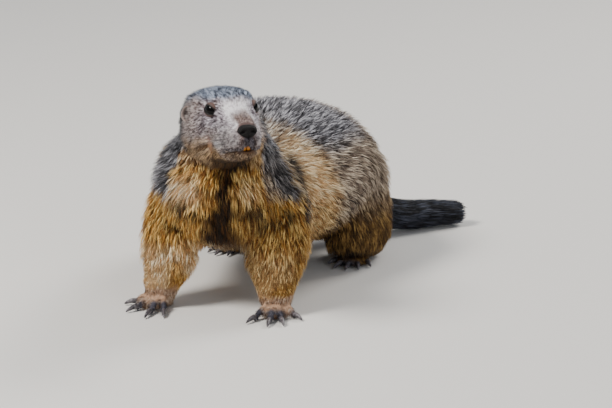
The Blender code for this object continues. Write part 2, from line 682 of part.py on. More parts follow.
def ear_form(name, side, socket=False):
    """A shallow furred cup: a rounded leaf dished away from the way it faces. As a socket it is the same
    form filled and a gap larger, to clear its seat in the head."""
    face = head_way(EAR_FACE[0], EAR_FACE[1] * side, EAR_FACE[2]).normalized()
    across = HEAD_UP.cross(face).normalized()
    high = face.cross(across).normalized()
    centre = head_point(EAR_CENTRE[0], EAR_CENTRE[1] * side, EAR_CENTRE[2])
    spread = GAP if socket else 0.0
    bm = bmesh.new()

    def point(reach, turn, lift, dish):
        """A place at a share of the way out, dished by the square of that share and lifted."""
        lobe = 1.0 + EAR_LOBE * math.sin(turn)
        wide = across * math.cos(turn) * (EAR_SIZE[0] + spread)
        tall = high * math.sin(turn) * (EAR_SIZE[1] + spread) * lobe
        return centre + (wide + tall) * reach + face * (dish * (reach**2 - 1.0) + lift)

    front = (EAR_SOCKET, 0.0) if socket else (0.0, EAR_DEPTH)
    back = (-EAR_WALL - spread, EAR_DEPTH)
    grids = []
    for lift, dish in (front, back):
        middle = bm.verts.new(point(0.0, 0.0, lift, dish))
        loops = []
        for reach in np.linspace(0, 1, EAR_RINGS + 1)[1:]:
            turns = [math.tau * k / EAR_SIDES for k in range(EAR_SIDES)]
            loops.append([bm.verts.new(point(reach, turn, lift, dish)) for turn in turns])
        grids.append((middle, loops))
    for middle, loops in grids:
        for k in range(EAR_SIDES):
            t = (k + 1) % EAR_SIDES
            bm.faces.new((middle, loops[0][k], loops[0][t]))
            for first, second in zip(loops, loops[1:]):
                bm.faces.new((first[k], second[k], second[t], first[t]))
    front_rim, back_rim = grids[0][1][-1], grids[1][1][-1]
    for k in range(EAR_SIDES):
        t = (k + 1) % EAR_SIDES
        bm.faces.new((front_rim[k], back_rim[k], back_rim[t], front_rim[t]))
    return from_bmesh(name, bm)


def digit_path(start, way, length, knuckle):
    """The arch of one toe, from the foot's pad over its knuckle to its blunt tip."""
    low = DIGIT_RADIUS * 0.88
    rows = []
    for t, rise, share in DIGIT_PROFILE:
        point = start + way * length * t + Vector((0, 0, low + (knuckle - low) * rise))
        radius = DIGIT_RADIUS * share
        rows.append((*point, radius, radius * 0.92, radius * 1.05))
    return rows


def claw_path(root, way, length):
    """A claw from its root inside the toe, arching forward and down to its point."""
    rows = []
    for t, rise, share in CLAW_PROFILE:
        point = root + way * length * t + Vector((0, 0, rise))
        radius = CLAW_RADIUS * share
        rows.append((*point, radius * 0.82, radius, radius))
    return rows


def foot(kind, side_name, wrist, turn, pad, fan, lengths, claws, mirror):
    """Palm and digits melted into one solid cut flat at the floor, and its claws, each set into its toe."""
    ahead, half_width, height = pad
    axis = Vector((math.sin(turn), -math.cos(turn), 0.0))
    aside = Vector((math.cos(turn), math.sin(turn), 0.0))
    up = (0, 0, 1)
    floor_point = Vector((wrist[0], wrist[1], 0.0))
    heel = floor_point - axis * HEEL[kind]
    palm_end = floor_point + axis * (ahead + 0.006)
    palm = []
    for t, width, tall in PALM_PROFILE:
        point = heel.lerp(palm_end, t) + Vector((0, 0, height * PALM_RISE))
        above = height * (1 - PALM_RISE) * tall
        palm.append((*point, half_width * width, above, height * 0.5 * tall + FLOOR_SINK))
    shank = [(wrist[0], wrist[1], z, wrist[3] * s, wrist[4] * s, wrist[5] * s) for z, s in CUFF]
    pieces = [loft("palm", palm, up, 20, 16), loft("shank", shank, (0, -1, 0), 20, 10)]
    nails = []
    for k, (degrees, length, claw) in enumerate(zip(fan, lengths, claws)):
        spread = math.radians(degrees) * (-1 if mirror else 1)
        way = Vector((math.sin(turn + spread), -math.cos(turn + spread), 0.0))
        start = floor_point + axis * (ahead * 0.82 * math.cos(spread * 1.15) + 0.001)
        start += aside * half_width * FAN_WIDTH * math.sin(spread)
        pieces.append(loft("digit", digit_path(start, way, length, KNUCKLE[kind]), up, 12, 12))
        root = start + way * (length - 0.0012) + Vector((0, 0, CLAW_ROOT))
        nails.append((f"claw_{kind}_{side_name}_{k + 1}", claw_path(root, way, claw)))
    body = fused(f"{kind}_{side_name}", pieces, 0.0014, 3, FOOT_TRIANGLES)
    sockets = [loft("socket", rows, up, CLAW_SIDES, CLAW_RINGS, grow=GAP) for _, rows in nails]
    slab = block("slab", (-FAR, -FAR, 0.0), (FAR, FAR, WRIST_TOP - GAP / 2))
    carved(body, keep=[slab], remove=sockets)
    return [body] + [loft(name, rows, up, CLAW_SIDES, CLAW_RINGS) for name, rows in nails]


def build_head(looks):
    whole = fused("head", head_pieces(), 0.0022, 6, HEAD_TRIANGLES)
    for side in (1, -1):
        ring = lid_ring(side)
        boolean(whole, ring, "UNION")
        bpy.data.objects.remove(ring)
    tree = surface_tree(whole)
    cutters = [mouth_line(tree), lip_cleft(tree), nose_form("nose_socket", GAP)]
    cutters.append(head_ellipsoid("gape", (*GAPE_CENTRE, *GAPE_SIZE)))
    cutters += [eyeball("socket", side, GAP) for side in (1, -1)]
    cutters += [incisor_form("tooth_socket", side, GAP) for side in (1, -1)]
    cutters += [ear_form("ear_socket", side, True) for side in (1, -1)]
    cut_point = head_point(*HEAD_CUT)
    cut_normal = head_way(*HEAD_CUT_NORMAL)
    carved(whole, keep=[half_space("front", cut_point, cut_normal, GAP / 2)], remove=cutters)
    finish(whole, looks["grey"])
    for side, name in ((1, "left"), (-1, "right")):
        finish(eyeball(f"eye_{name}", side), looks["eye"])
        finish(ear_form(f"ear_{name}", side), looks["grey"])
    nose = nose_form("nose")
    nostrils = [head_ellipsoid("nostril", (*NOSTRIL, *NOSTRIL_SIZE), side, sides=8) for side in (1, -1)]
    finish(carved(nose, remove=nostrils), looks["nose"])
    for side, name in ((1, "left"), (-1, "right")):
        finish(incisor_form(f"incisor_{name}", side), looks["tooth"])


def leg_boxes(grow):
    """The boxes that hold the forelegs and the hind legs, made larger by grow where they face the body."""
    boxes = {}
    for name, (low, high, low_sides, high_sides) in LEG_BOXES.items():
        low = Vector(low) - Vector(low_sides) * grow
        high = Vector(high) + Vector(high_sides) * grow
        turn = SHOULDER_TURN if name.startswith("foreleg") else 0.0
        boxes[name] = block(name + "_box", low, high, turn, SHOULDER_POINT)
    return boxes


def tail_plane():
    """Where the tail leaves the rump, and the way that it runs there."""
    start = Vector(TAIL[1][:3])
    way = (Vector(TAIL[2][:3]) - start).normalized()
    return start + way * TAIL_CUT, way


def build_body(looks):
    draw = random.Random(SEED)
    whole = fused("whole", trunk_pieces(), 0.0048, 4, BODY_TRIANGLES)
    united(whole, coat_locks(whole, draw))
    head_plane = (head_point(*HEAD_CUT), head_way(*HEAD_CUT_NORMAL))
    neck_plane = (NECK_CUT, NECK_CUT_NORMAL)
    chest_plane = (Vector((0, CHEST_END, 0)), Vector((0, 1, 0)))
    belly_plane = (Vector((0, ABDOMEN_END, 0)), Vector((0, 1, 0)))
    half = GAP / 2

    def before(plane):
        return half_space("before", plane[0], -plane[1], half)

    def after(plane):
        return half_space("after", plane[0], plane[1], half)

    boxes = leg_boxes(GAP)
    neck = carved(copy_of(whole, "neck"), keep=[before(head_plane), after(neck_plane)])
    chest = carved(
        copy_of(whole, "chest"),
        keep=[before(neck_plane), before(chest_plane)],
        remove=[boxes["foreleg_left"], boxes["foreleg_right"]],
    )
    fore = leg_boxes(GAP)
    abdomen = carved(
        copy_of(whole, "abdomen"),
        keep=[after(chest_plane), before(belly_plane)],
        remove=[boxes["hindleg_left"], boxes["hindleg_right"], fore["foreleg_left"], fore["foreleg_right"]],
    )
    tail_cut = tail_plane()
    rump = carved(
        copy_of(whole, "rump"),
        keep=[after(belly_plane), before(tail_cut)],
        remove=[fore["hindleg_left"], fore["hindleg_right"]],
    )
    for node in (neck, chest, abdomen, rump):
        finish(node, looks["grey"] if node in (neck, rump) else looks["tawny"])
    legs = leg_boxes(0.0)
    top = Vector((0, 0, WRIST_TOP))
    for name, box in legs.items():
        above = half_space("above", top, Vector((0, 0, 1)), half)
        finish(carved(copy_of(whole, name), keep=[above, box]), looks["tawny"])
    bpy.data.objects.remove(whole)
    tail = tail_with_locks(draw)
    floor = half_space("floor", Vector((0, 0, 0)), Vector((0, 0, 1)))
    carved(tail, keep=[after(tail_cut), floor])
    finish(tail, looks["black"])


def wrist_of(stations):
    """The section of a leg at the height where the foot begins."""
    rows = smooth_rows(stations, 60)
    return rows[np.argmin(abs(rows[:, 2] - WRIST_TOP))]


def build_feet(looks):
    for side, name, stations in ((1, "left", FORELEG_LEFT), (-1, "right", FORELEG_RIGHT)):
        turn, fan, lengths = (values[side < 0] for values in (FORE_TURNS, FORE_FANS, FORE_LENGTHS))
        wrist = wrist_of(stations)
        made = foot("forepaw", name, wrist, turn, FORE_PALM, fan, lengths, FORE_CLAWS, side < 0)
        wrist = wrist_of(HINDLEG if side > 0 else mirrored(HINDLEG))
        turn = HIND_TURN * side
        made += foot("hindfoot", name, wrist, turn, HIND_SOLE, HIND_FAN, HIND_LENGTHS, HIND_CLAWS, side < 0)
        for piece in made:
            finish(piece, looks["claw" if piece.name.startswith("claw") else "paw"])


def centre_on_floor():
    """Moves all nodes so that the origin is at the middle of the bounding box's underside."""
    bpy.context.view_layer.update()
    points = np.vstack([np.array([v.co for v in obj.data.vertices]) for obj in bpy.data.objects])
    middle = (points.min(0) + points.max(0)) / 2
    shift = Matrix.Translation((-middle[0], -middle[1], 0.0))
    for obj in bpy.data.objects:
        obj.data.transform(shift)


def main():
    clear_scene()
    looks = {
        "grey": material("grey_coat", (0.20, 0.18, 0.17), 0.9),
        "tawny": material("tawny_coat", (0.42, 0.24, 0.09), 0.9),
        "black": material("black_coat", (0.02, 0.02, 0.025), 0.85),
        "paw": material("paw_fur", (0.45, 0.30, 0.20), 0.85),
        "claw": material("claw_horn", (0.06, 0.055, 0.06), 0.45),
        "eye": material("eye", (0.01, 0.008, 0.007), 0.08),
        "nose": material("nose_skin", (0.015, 0.013, 0.014), 0.4),
        "tooth": material("tooth_enamel", (0.70, 0.38, 0.08), 0.3),
    }
    build_body(looks)
    build_head(looks)
    build_feet(looks)
    centre_on_floor()


main()
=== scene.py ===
import itertools
import math

import bpy
import numpy as np
from mathutils import Matrix, Vector


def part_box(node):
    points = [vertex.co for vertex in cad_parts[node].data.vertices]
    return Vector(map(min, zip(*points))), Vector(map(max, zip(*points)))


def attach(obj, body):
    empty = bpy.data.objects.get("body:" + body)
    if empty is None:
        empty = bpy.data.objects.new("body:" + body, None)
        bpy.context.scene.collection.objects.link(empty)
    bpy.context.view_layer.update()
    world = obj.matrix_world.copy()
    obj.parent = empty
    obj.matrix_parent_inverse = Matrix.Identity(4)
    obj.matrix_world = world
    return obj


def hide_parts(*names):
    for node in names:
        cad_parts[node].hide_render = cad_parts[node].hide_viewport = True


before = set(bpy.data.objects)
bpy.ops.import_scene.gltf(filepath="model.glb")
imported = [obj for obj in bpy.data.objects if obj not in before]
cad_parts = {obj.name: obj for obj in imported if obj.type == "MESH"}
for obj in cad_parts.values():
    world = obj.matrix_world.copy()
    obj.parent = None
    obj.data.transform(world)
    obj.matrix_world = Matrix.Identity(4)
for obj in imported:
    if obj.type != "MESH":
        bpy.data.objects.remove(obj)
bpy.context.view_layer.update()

# Skin. One tanned hide over the whole body, drawn tight over the trunk, neck, head, legs, feet and tail, so
# it has no seam. It lies inside the animal's outline by the depth of the coat that grows from it.

# x, y, z of a section's middle, half width, height above the middle, depth below it, in metres
trunk_sections = (
    (0.024, -0.186, 0.100, 0.012, 0.012, 0.012),
    (0.022, -0.180, 0.102, 0.036, 0.034, 0.030),
    (0.018, -0.163, 0.108, 0.058, 0.052, 0.046),
    (0.011, -0.137, 0.113, 0.073, 0.062, 0.056),
    (0.001, -0.078, 0.114, 0.085, 0.069, 0.072),
    (-0.004, -0.018, 0.110, 0.096, 0.078, 0.082),
    (-0.004, 0.042, 0.104, 0.102, 0.076, 0.082),
    (-0.001, 0.090, 0.097, 0.097, 0.071, 0.077),
    (0.005, 0.126, 0.088, 0.077, 0.056, 0.063),
    (0.009, 0.146, 0.080, 0.050, 0.038, 0.044),
    (0.010, 0.158, 0.076, 0.015, 0.012, 0.014),
)
neck_sections = (
    (0.006, -0.098, 0.112, 0.070, 0.050, 0.050),
    (0.010, -0.118, 0.136, 0.072, 0.048, 0.052),
    (0.015, -0.134, 0.158, 0.060, 0.042, 0.052),
    (0.021, -0.148, 0.180, 0.048, 0.034, 0.046),
    (0.027, -0.161, 0.200, 0.040, 0.028, 0.036),
    (0.033, -0.176, 0.213, 0.026, 0.016, 0.020),
)
left_foreleg = (
    (0.046, -0.108, 0.135, 0.024, 0.024, 0.026),
    (0.056, -0.112, 0.112, 0.036, 0.034, 0.036),
    (0.062, -0.118, 0.088, 0.038, 0.032, 0.036),
    (0.065, -0.126, 0.064, 0.0370, 0.029, 0.034),
    (0.069, -0.135, 0.042, 0.0290, 0.023, 0.026),
    (0.072, -0.142, 0.026, 0.0215, 0.0175, 0.0190),
    (0.074, -0.147, 0.012, 0.0165, 0.0145, 0.0150),
)
right_foreleg = (
    (-0.020, -0.126, 0.135, 0.024, 0.024, 0.026),
    (-0.030, -0.138, 0.112, 0.035, 0.034, 0.036),
    (-0.038, -0.146, 0.088, 0.035, 0.032, 0.036),
    (-0.040, -0.153, 0.064, 0.033, 0.027, 0.032),
    (-0.042, -0.158, 0.042, 0.0280, 0.022, 0.025),
    (-0.045, -0.162, 0.026, 0.0205, 0.0170, 0.0185),
    (-0.047, -0.165, 0.012, 0.0158, 0.0140, 0.0145),
)
left_hindleg = (
    (0.042, 0.082, 0.122, 0.034, 0.036, 0.036),
    (0.054, 0.080, 0.096, 0.044, 0.054, 0.048),
    (0.060, 0.080, 0.070, 0.041, 0.056, 0.048),
    (0.063, 0.084, 0.045, 0.038, 0.050, 0.046),
    (0.063, 0.092, 0.026, 0.033, 0.038, 0.038),
    (0.062, 0.098, 0.010, 0.021, 0.024, 0.028),
)
rump_middle = -0.004
right_hindleg = tuple((2 * rump_middle - x, *rest) for x, *rest in left_hindleg)
tail_sections = (
    (0.004, 0.118, 0.074, 0.030, 0.028, 0.028),
    (0.012, 0.142, 0.062, 0.0240, 0.0225, 0.0225),
    (0.033, 0.176, 0.037, 0.0200, 0.0190, 0.0190),
    (0.057, 0.209, 0.0205, 0.0185, 0.0180, 0.0190),
    (0.083, 0.242, 0.0170, 0.0165, 0.0165, 0.0165),
    (0.103, 0.262, 0.0155, 0.0135, 0.0135, 0.0140),
    (0.114, 0.273, 0.0140, 0.0080, 0.0080, 0.0080),
)
tail_core_sections = tuple(
    (x, y, z, w * k, a * k, b * k)
    for (x, y, z, w, a, b), k in zip(tail_sections, (0.72, 0.62, 0.48, 0.42, 0.38, 0.22))
)
# forward of the head's middle, height of the section's middle, half width, height above, depth below
head_sections = (
    (-0.036, -0.013, 0.012, 0.010, 0.012),
    (-0.032, -0.013, 0.026, 0.0235, 0.027),
    (-0.018, -0.015, 0.0370, 0.0360, 0.036),
    (0.000, -0.016, 0.0380, 0.0397, 0.0390),
    (0.018, -0.017, 0.0362, 0.0400, 0.0390),
    (0.033, -0.018, 0.0300, 0.0372, 0.0370),
    (0.047, -0.022, 0.0240, 0.0322, 0.0320),
    (0.061, -0.026, 0.0205, 0.0262, 0.0250),
    (0.075, -0.028, 0.0172, 0.0205, 0.0190),
    (0.085, -0.027, 0.0130, 0.0160, 0.0105),
    (0.0895, -0.026, 0.0060, 0.0080, 0.0060),
)
# Cheek, brow and whisker pad on each side, and the chin: forward, left, up, then three half sizes
head_swellings = (
    (0.010, 0.0185, -0.028, 0.034, 0.0190, 0.0235),
    (0.031, 0.0155, 0.0095, 0.0170, 0.0090, 0.0092),
    (0.069, 0.0090, -0.0270, 0.0145, 0.0098, 0.0105),
)
chin_swelling = (0.061, 0.0, -0.0430, 0.0150, 0.0105, 0.0075)
head_squareness = 2.55

head_middle = np.array((0.0240, -0.170, 0.211))
head_turn, head_lift = math.radians(43), math.radians(12)
ahead = np.array((math.sin(head_turn), -math.cos(head_turn), math.tan(head_lift))) * math.cos(head_lift)
leftward = np.array((math.cos(head_turn), math.sin(head_turn), 0.0))
crownward = np.cross(ahead, leftward)
head_axes = np.array((ahead, leftward, crownward))
eye_place = (0.0400, 0.0190, 0.0012)


def head_way(way, side=1):
    """A way given in the head's own directions, forward, left and up, or its mirror image on the right."""
    return (np.asarray(way) * (1, side, 1)) @ head_axes


def head_point(place, side=1):
    """A place given in the head's own directions from its middle."""
    return head_middle + head_way(place, side)


head_stations = [(*head_point((f, 0, c)), w, a, b) for f, c, w, a, b in head_sections]

# The body above is drawn about its own origin; this is where that origin lies in the frame
home = sum(np.array(corner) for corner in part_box("eye_left")) / 2 - head_point(eye_place)


def smooth_path(stations, count):
    """Rows at even steps along the curve through the stations, each a cubic of the four nearest rows."""
    rows = np.array(stations, float)
    padded = np.vstack([2 * rows[0] - rows[1], rows, 2 * rows[-1] - rows[-2]])
    steps = np.linspace(0, len(rows) - 1, count)
    index = np.minimum(steps.astype(int), len(rows) - 2)
    t = (steps - index)[:, None]
    a, b, c, d = (padded[index + k] for k in range(4))
    return 0.5 * (2 * b + (c - a) * t + (2 * a - 5 * b + 4 * c - d) * t**2 + (3 * b - 3 * c + d - a) * t**3)


def unit(vectors):
    """The vectors at length 1."""
    return vectors / np.maximum(np.linalg.norm(vectors, axis=-1, keepdims=True), 1e-9)


def round_turn(sides):
    """Angles of so many even steps round a circle."""
    return np.linspace(0, math.tau, sides, endpoint=False)


def powered(values, power):
    """Sign times size to a power: a circle's cosine and sine so changed give a squarer ring."""
    return np.sign(values) * np.abs(values) ** power


def limb(stations, upward, rings, sides, square=2.0):
    """Grid of points = middle + half width |cos|^(2/q) across + height |sin|^(2/q) up, along a path."""
    rows = smooth_path(stations, rings)
    along = unit(np.gradient(rows[:, :3], axis=0))
    high = unit(np.asarray(upward) - (along @ np.asarray(upward))[:, None] * along)
    wide = np.cross(along, high)
    turn = round_turn(sides)
    rise = powered(np.sin(turn), 2 / square)
    width = rows[:, 3:4] * powered(np.cos(turn), 2 / square)
    height = np.where(rise > 0, rows[:, 4:5], rows[:, 5:6]) * rise
    return rows[:, None, :3] + wide[:, None] * width[..., None] + high[:, None] * height[..., None]


def swelling(centre, sizes, axes, rings=18, sides=28):
    """Grid of an ellipsoid: centre + sizes times (cos polar, sin polar cos turn, sin polar sin turn)."""
    polar = np.linspace(0.02, math.pi - 0.02, rings)[:, None]
    turn = round_turn(sides)
    local = (np.cos(polar), np.sin(polar) * np.cos(turn), np.sin(polar) * np.sin(turn))
    return centre + (np.stack(np.broadcast_arrays(*local), -1) * sizes) @ axes


def closed_tube(grid):
    """Points and triangles of a ring-by-ring grid, with a fan to the middle of each end ring."""
    rings, sides = grid.shape[:2]
    points = np.vstack([grid.reshape(-1, 3), grid[0].mean(0), grid[-1].mean(0)])
    r, s = (v.ravel() for v in np.meshgrid(np.arange(rings - 1), np.arange(sides), indexing="ij"))
    a, b = r * sides + s, r * sides + (s + 1) % sides
    k = np.arange(sides)
    n = (k + 1) % sides
    last = (rings - 1) * sides
    return points, np.vstack([
        np.stack([a, b, b + sides], -1),
        np.stack([a, b + sides, a + sides], -1),
        np.stack([np.full(sides, rings * sides), n, k], -1),
        np.stack([np.full(sides, rings * sides + 1), last + k, last + n], -1),
    ])


def outward(points, triangles):
    """The triangles turned so that the volume they enclose, the sum of a . (b x c) / 6, is positive."""
    a, b, c = (points[triangles[:, k]] for k in range(3))
    return triangles if np.einsum("ij,ij->i", a, np.cross(b, c)).sum() > 0 else triangles[:, ::-1]


def gathered(parts):
    """One set of points and triangles from several."""
    counts = np.cumsum([0] + [len(points) for points, _ in parts])
    return (
        np.vstack([points for points, _ in parts]),
        np.vstack([outward(points, triangles) + first for (points, triangles), first in zip(parts, counts)]),
    )


def put_mesh(name, points, triangles, smooth=True):
    """An object at the frame's origin whose mesh holds these points, moved home, and triangles."""
    mesh = bpy.data.meshes.new(name)
    mesh.vertices.add(len(points))
    mesh.vertices.foreach_set("co", (points + home).astype(np.float32).ravel())
    mesh.loops.add(triangles.size)
    mesh.loops.foreach_set("vertex_index", np.ascontiguousarray(triangles, np.int32).ravel())
    mesh.polygons.add(len(triangles))
    mesh.polygons.foreach_set("loop_start", np.arange(0, triangles.size, 3, dtype=np.int32))
    mesh.update(calc_edges=True)
    if smooth:
        mesh.shade_smooth()
    obj = bpy.data.objects.new(name, mesh)
    bpy.context.scene.collection.objects.link(obj)
    return obj


def applied(obj):
    """The object with its modifiers worked into its mesh."""
    graph = bpy.context.evaluated_depsgraph_get()
    obj.data = bpy.data.meshes.new_from_object(obj.evaluated_get(graph), depsgraph=graph)
    obj.modifiers.clear()
    return obj


def read_mesh(obj):
    """Points, point normals and triangles of an object, about the body's own origin."""
    mesh = obj.data
    mesh.calc_loop_triangles()
    points = np.empty((len(mesh.vertices), 3), np.float32)
    normals = np.empty_like(points)
    triangles = np.empty((len(mesh.loop_triangles), 3), np.int32)
    mesh.vertices.foreach_get("co", points.reshape(-1))
    mesh.vertex_normals.foreach_get("vector", normals.reshape(-1))
    mesh.loop_triangles.foreach_get("vertices", triangles.reshape(-1))
    return points.astype(float) - home, normals.astype(float), triangles


# Feet: distance ahead of the wrist or ankle, half width and height of the palm, then its digits
wrist_height = 0.019
palm_profile = (
    (-0.05, 0.45, 0.55),
    (0.10, 0.80, 0.90),
    (0.45, 0.92, 1.00),
    (0.80, 1.05, 0.95),
    (1.00, 0.92, 0.75),
    (1.06, 0.50, 0.40),
)
digit_profile = ((0.0, 1.0, 1.14), (0.3, 1.0, 1.06), (0.65, 0.5, 0.98), (0.9, 0.0, 0.92), (1.0, -0.03, 0.6))
cuff_profile = ((0.005, 0.66), (0.011, 0.86), (0.023, 1.04), (0.029, 1.10))
digit_thickness = 0.0035
forefoot = dict(
    pad=(0.0150, 0.0138, 0.0130), heel=0.010, knuckle=0.0102, claws=(0.0140, 0.0150, 0.0140, 0.0110),
)
hindfoot = dict(
    pad=(0.0330, 0.0135, 0.0120), heel=0.020, knuckle=0.0080, fan=(-34, -15, 1, 17, 36),
    lengths=(0.0150, 0.0200, 0.0215, 0.0195, 0.0140), claws=(0.0110, 0.0130, 0.0135, 0.0125, 0.0105),
)
feet = {
    "forepaw_left": dict(
        forefoot, leg=left_foreleg, turn=24, hand=1,
        fan=(-34, -8, 9, 40), lengths=(0.0225, 0.0270, 0.0235, 0.0150),
    ),
    "forepaw_right": dict(
        forefoot, leg=right_foreleg, turn=-24, hand=-1,
        fan=(-50, -30, 2, 40), lengths=(0.0225, 0.0260, 0.0190, 0.0135),
    ),
    "hindfoot_left": dict(hindfoot, leg=left_hindleg, turn=8, hand=1),
    "hindfoot_right": dict(hindfoot, leg=right_hindleg, turn=-8, hand=-1),
}


def foot_place(foot):
    """The row of the leg's path at the wrist or ankle, and the way that the foot points."""
    rows, turn = smooth_path(foot["leg"], 60), math.radians(foot["turn"])
    wrist = rows[np.argmin(np.abs(rows[:, 2] - wrist_height))]
    return wrist, np.array((math.sin(turn), -math.cos(turn), 0.0))


def foot_forms(foot):
    """Grids of a foot's palm, cuff and digits, and the place, way and length of each claw."""
    wrist, axis = foot_place(foot)
    turn = math.radians(foot["turn"])
    aside = np.array((math.cos(turn), math.sin(turn), 0.0))
    reach, half_width, height = foot["pad"]
    ground = wrist[:3] * (1, 1, 0)
    heel, front = ground - axis * foot["heel"], ground + axis * (reach + 0.006)
    palm = []
    for t, wide, tall in palm_profile:
        middle = heel + (front - heel) * t + (0, 0, height * 0.42)
        palm.append((*middle, half_width * wide, height * 0.58 * tall, height * 0.5 * tall + 0.0012))
    cuff = [(wrist[0], wrist[1], z, *(wrist[3:6] * share)) for z, share in cuff_profile]
    grids = [limb(palm, (0, 0, 1), 16, 24), limb(cuff, (0, -1, 0), 10, 24)]
    claws = []
    low = digit_thickness * 0.88
    for degrees, length, claw in zip(foot["fan"], foot["lengths"], foot["claws"]):
        spread = math.radians(degrees) * foot["hand"]
        way = np.array((math.sin(turn + spread), -math.cos(turn + spread), 0.0))
        start = ground + axis * (reach * 0.82 * math.cos(spread * 1.15) + 0.001)
        start = start + aside * half_width * 0.82 * math.sin(spread) / math.sin(math.radians(42))
        digit = []
        for t, rise, share in digit_profile:
            middle = start + way * length * t + (0, 0, low + (foot["knuckle"] - low) * rise)
            r = digit_thickness * share
            digit.append((*middle, r, r * 0.92, r * 1.05))
        grids.append(limb(digit, (0, 0, 1), 14, 16))
        claws.append((start + way * (length - 0.0012) + (0, 0, low + 0.0008), way, claw))
    return grids, claws


body_forms = [
    limb(trunk_sections, (0, 0, 1), 70, 48),
    limb(neck_sections, (0, 0.9, 0.5), 40, 40),
    *[limb(foot["leg"], (0, -1, 0), 40, 36) for foot in feet.values()],
    limb(tail_sections[:2], (0, 0, 1), 12, 28),
    limb(tail_core_sections, (0, 0, 1), 60, 24),
    limb(head_stations, crownward, 60, 48, head_squareness),
    swelling(head_point(chin_swelling[:3]), chin_swelling[3:], head_axes),
]
body_forms += [
    swelling(head_point(form[:3], side), form[3:], head_axes)
    for form, side in itertools.product(head_swellings, (1, -1))
]
foot_claws = {}
for name, foot in feet.items():
    grids, foot_claws[name] = foot_forms(foot)
    body_forms += grids

skin = put_mesh("skin", *gathered([closed_tube(grid) for grid in body_forms]))
melt = skin.modifiers.new("melt", "REMESH")
melt.mode = "VOXEL"
melt.voxel_size = 0.0014
soften = skin.modifiers.new("soften", "SMOOTH")
soften.factor = 0.5
soften.iterations = 8
applied(skin)


def ease(value, start, end):
    """0 before start, 1 past end, and 3t^2 - 2t^3 between; start may be the larger."""
    t = np.clip((value - start) / (end - start), 0, 1)
    return t * t * (3 - 2 * t)


# The head and feet keep every face, and the flanks and back give up most of theirs
points, _, _ = read_mesh(skin)
fine = (((points - head_middle) @ ahead > -0.030) & (points[:, 2] > 0.150)) | (points[:, 2] < 0.017)
skin.vertex_groups.new(name="plain").add(np.flatnonzero(~fine).tolist(), 1.0, "REPLACE")
thin = skin.modifiers.new("thin", "DECIMATE")
thin.ratio = 0.40
thin.vertex_group = "plain"
thin.vertex_group_factor = 8.0
applied(skin)
skin.vertex_groups.clear()

# Where each part of the body reaches, and the way that its coat lies: path, sign of the way, droop, and
# the droop that is added at the breast, where the coat falls straight down
parts = {
    "trunk": (trunk_sections, 1.0, 0.55, 6.0),
    "neck": (neck_sections, -1.0, 0.5, 1.0),
    "head": (head_stations, -1.0, 0.35, 0.0),
    "foreleg_left": (left_foreleg, 1.0, 0.6, 0.0),
    "foreleg_right": (right_foreleg, 1.0, 0.6, 0.0),
    "hindleg_left": (left_hindleg, 1.0, 0.6, 0.0),
    "hindleg_right": (right_hindleg, 1.0, 0.6, 0.0),
    "tail": (tail_sections, 1.0, 0.0, 0.0),
}
part_sharpness = 9.0


def share_of_parts(points):
    """How far each point belongs to each part, exp(-k distance / size) over their sum, and the lie of the
    coat there: each part's way and its droop, added by those shares."""
    weights, ways = [], []
    for stations, sign, droop, breast in parts.values():
        rows = smooth_path(stations, 40)
        along = unit(np.gradient(rows[:, :3], axis=0)) * sign
        size = rows[:, 3:6].mean(1)
        gap = (points**2).sum(1)[:, None] + (rows[:, :3] ** 2).sum(1) - 2 * points @ rows[:, :3].T
        gap = np.sqrt(np.maximum(gap, 0)) / size
        nearest = gap.argmin(1)
        weights.append(np.exp(-part_sharpness * gap[np.arange(len(points)), nearest]))
        fall = droop + breast * ease(points[:, 1], -0.115, -0.165)
        ways.append(unit(along[nearest] - fall[:, None] * np.array((0, 0, 1.0))))
    weights = np.array(weights)
    weights[:3] *= ease(points[:, 2], 0.017, 0.027)  # the trunk, neck and head have no part in the feet
    weights /= weights.sum(0)
    return weights, np.einsum("pn,pnk->nk", weights, np.array(ways))


outline, normals, triangles = read_mesh(skin)
weights, lie = share_of_parts(outline)
share = dict(zip(parts, weights))
share["legs"] = sum(share[name] for name in parts if "leg" in name)
share["paw"] = share["legs"] * ease(outline[:, 2], 0.026, 0.015)
forward, aside, crown = ((outline - head_middle) @ head_axes.T).T

# Depth of the coat over the skin: deep on the trunk, a few millimetres on the head, next to none on the feet
depth = (
    share["trunk"] * 0.0095
    + share["neck"] * 0.0080
    + share["head"] * (0.0010 + 0.0026 * ease(forward, 0.075, -0.010))
    + share["legs"] * (0.0008 + 0.0072 * ease(outline[:, 2], 0.020, 0.075))
)
base = outline - normals * depth[:, None]


def relaxed(points, triangles, rounds, keep):
    """Each point moved half way to the mean of its neighbours, so many times, but where keep is true."""
    a = triangles.ravel()
    b = triangles[:, (1, 2, 0)].ravel()
    count = np.bincount(a, minlength=len(points)) + np.bincount(b, minlength=len(points))
    for _ in range(rounds):
        mean = np.empty_like(points)
        for k in range(3):
            mean[:, k] = np.bincount(a, points[b, k], len(points)) + np.bincount(b, points[a, k], len(points))
        points = np.where(keep[:, None], points, (points + mean / count[:, None]) / 2)
    return points


base = relaxed(base, triangles, 6, share["head"] + share["paw"] > 0.6)


def bump(value, middle, width):
    """1 at the middle, falling off on both sides as exp(-((value - middle) / width)^2)."""
    return np.exp(-(((value - middle) / width) ** 2))


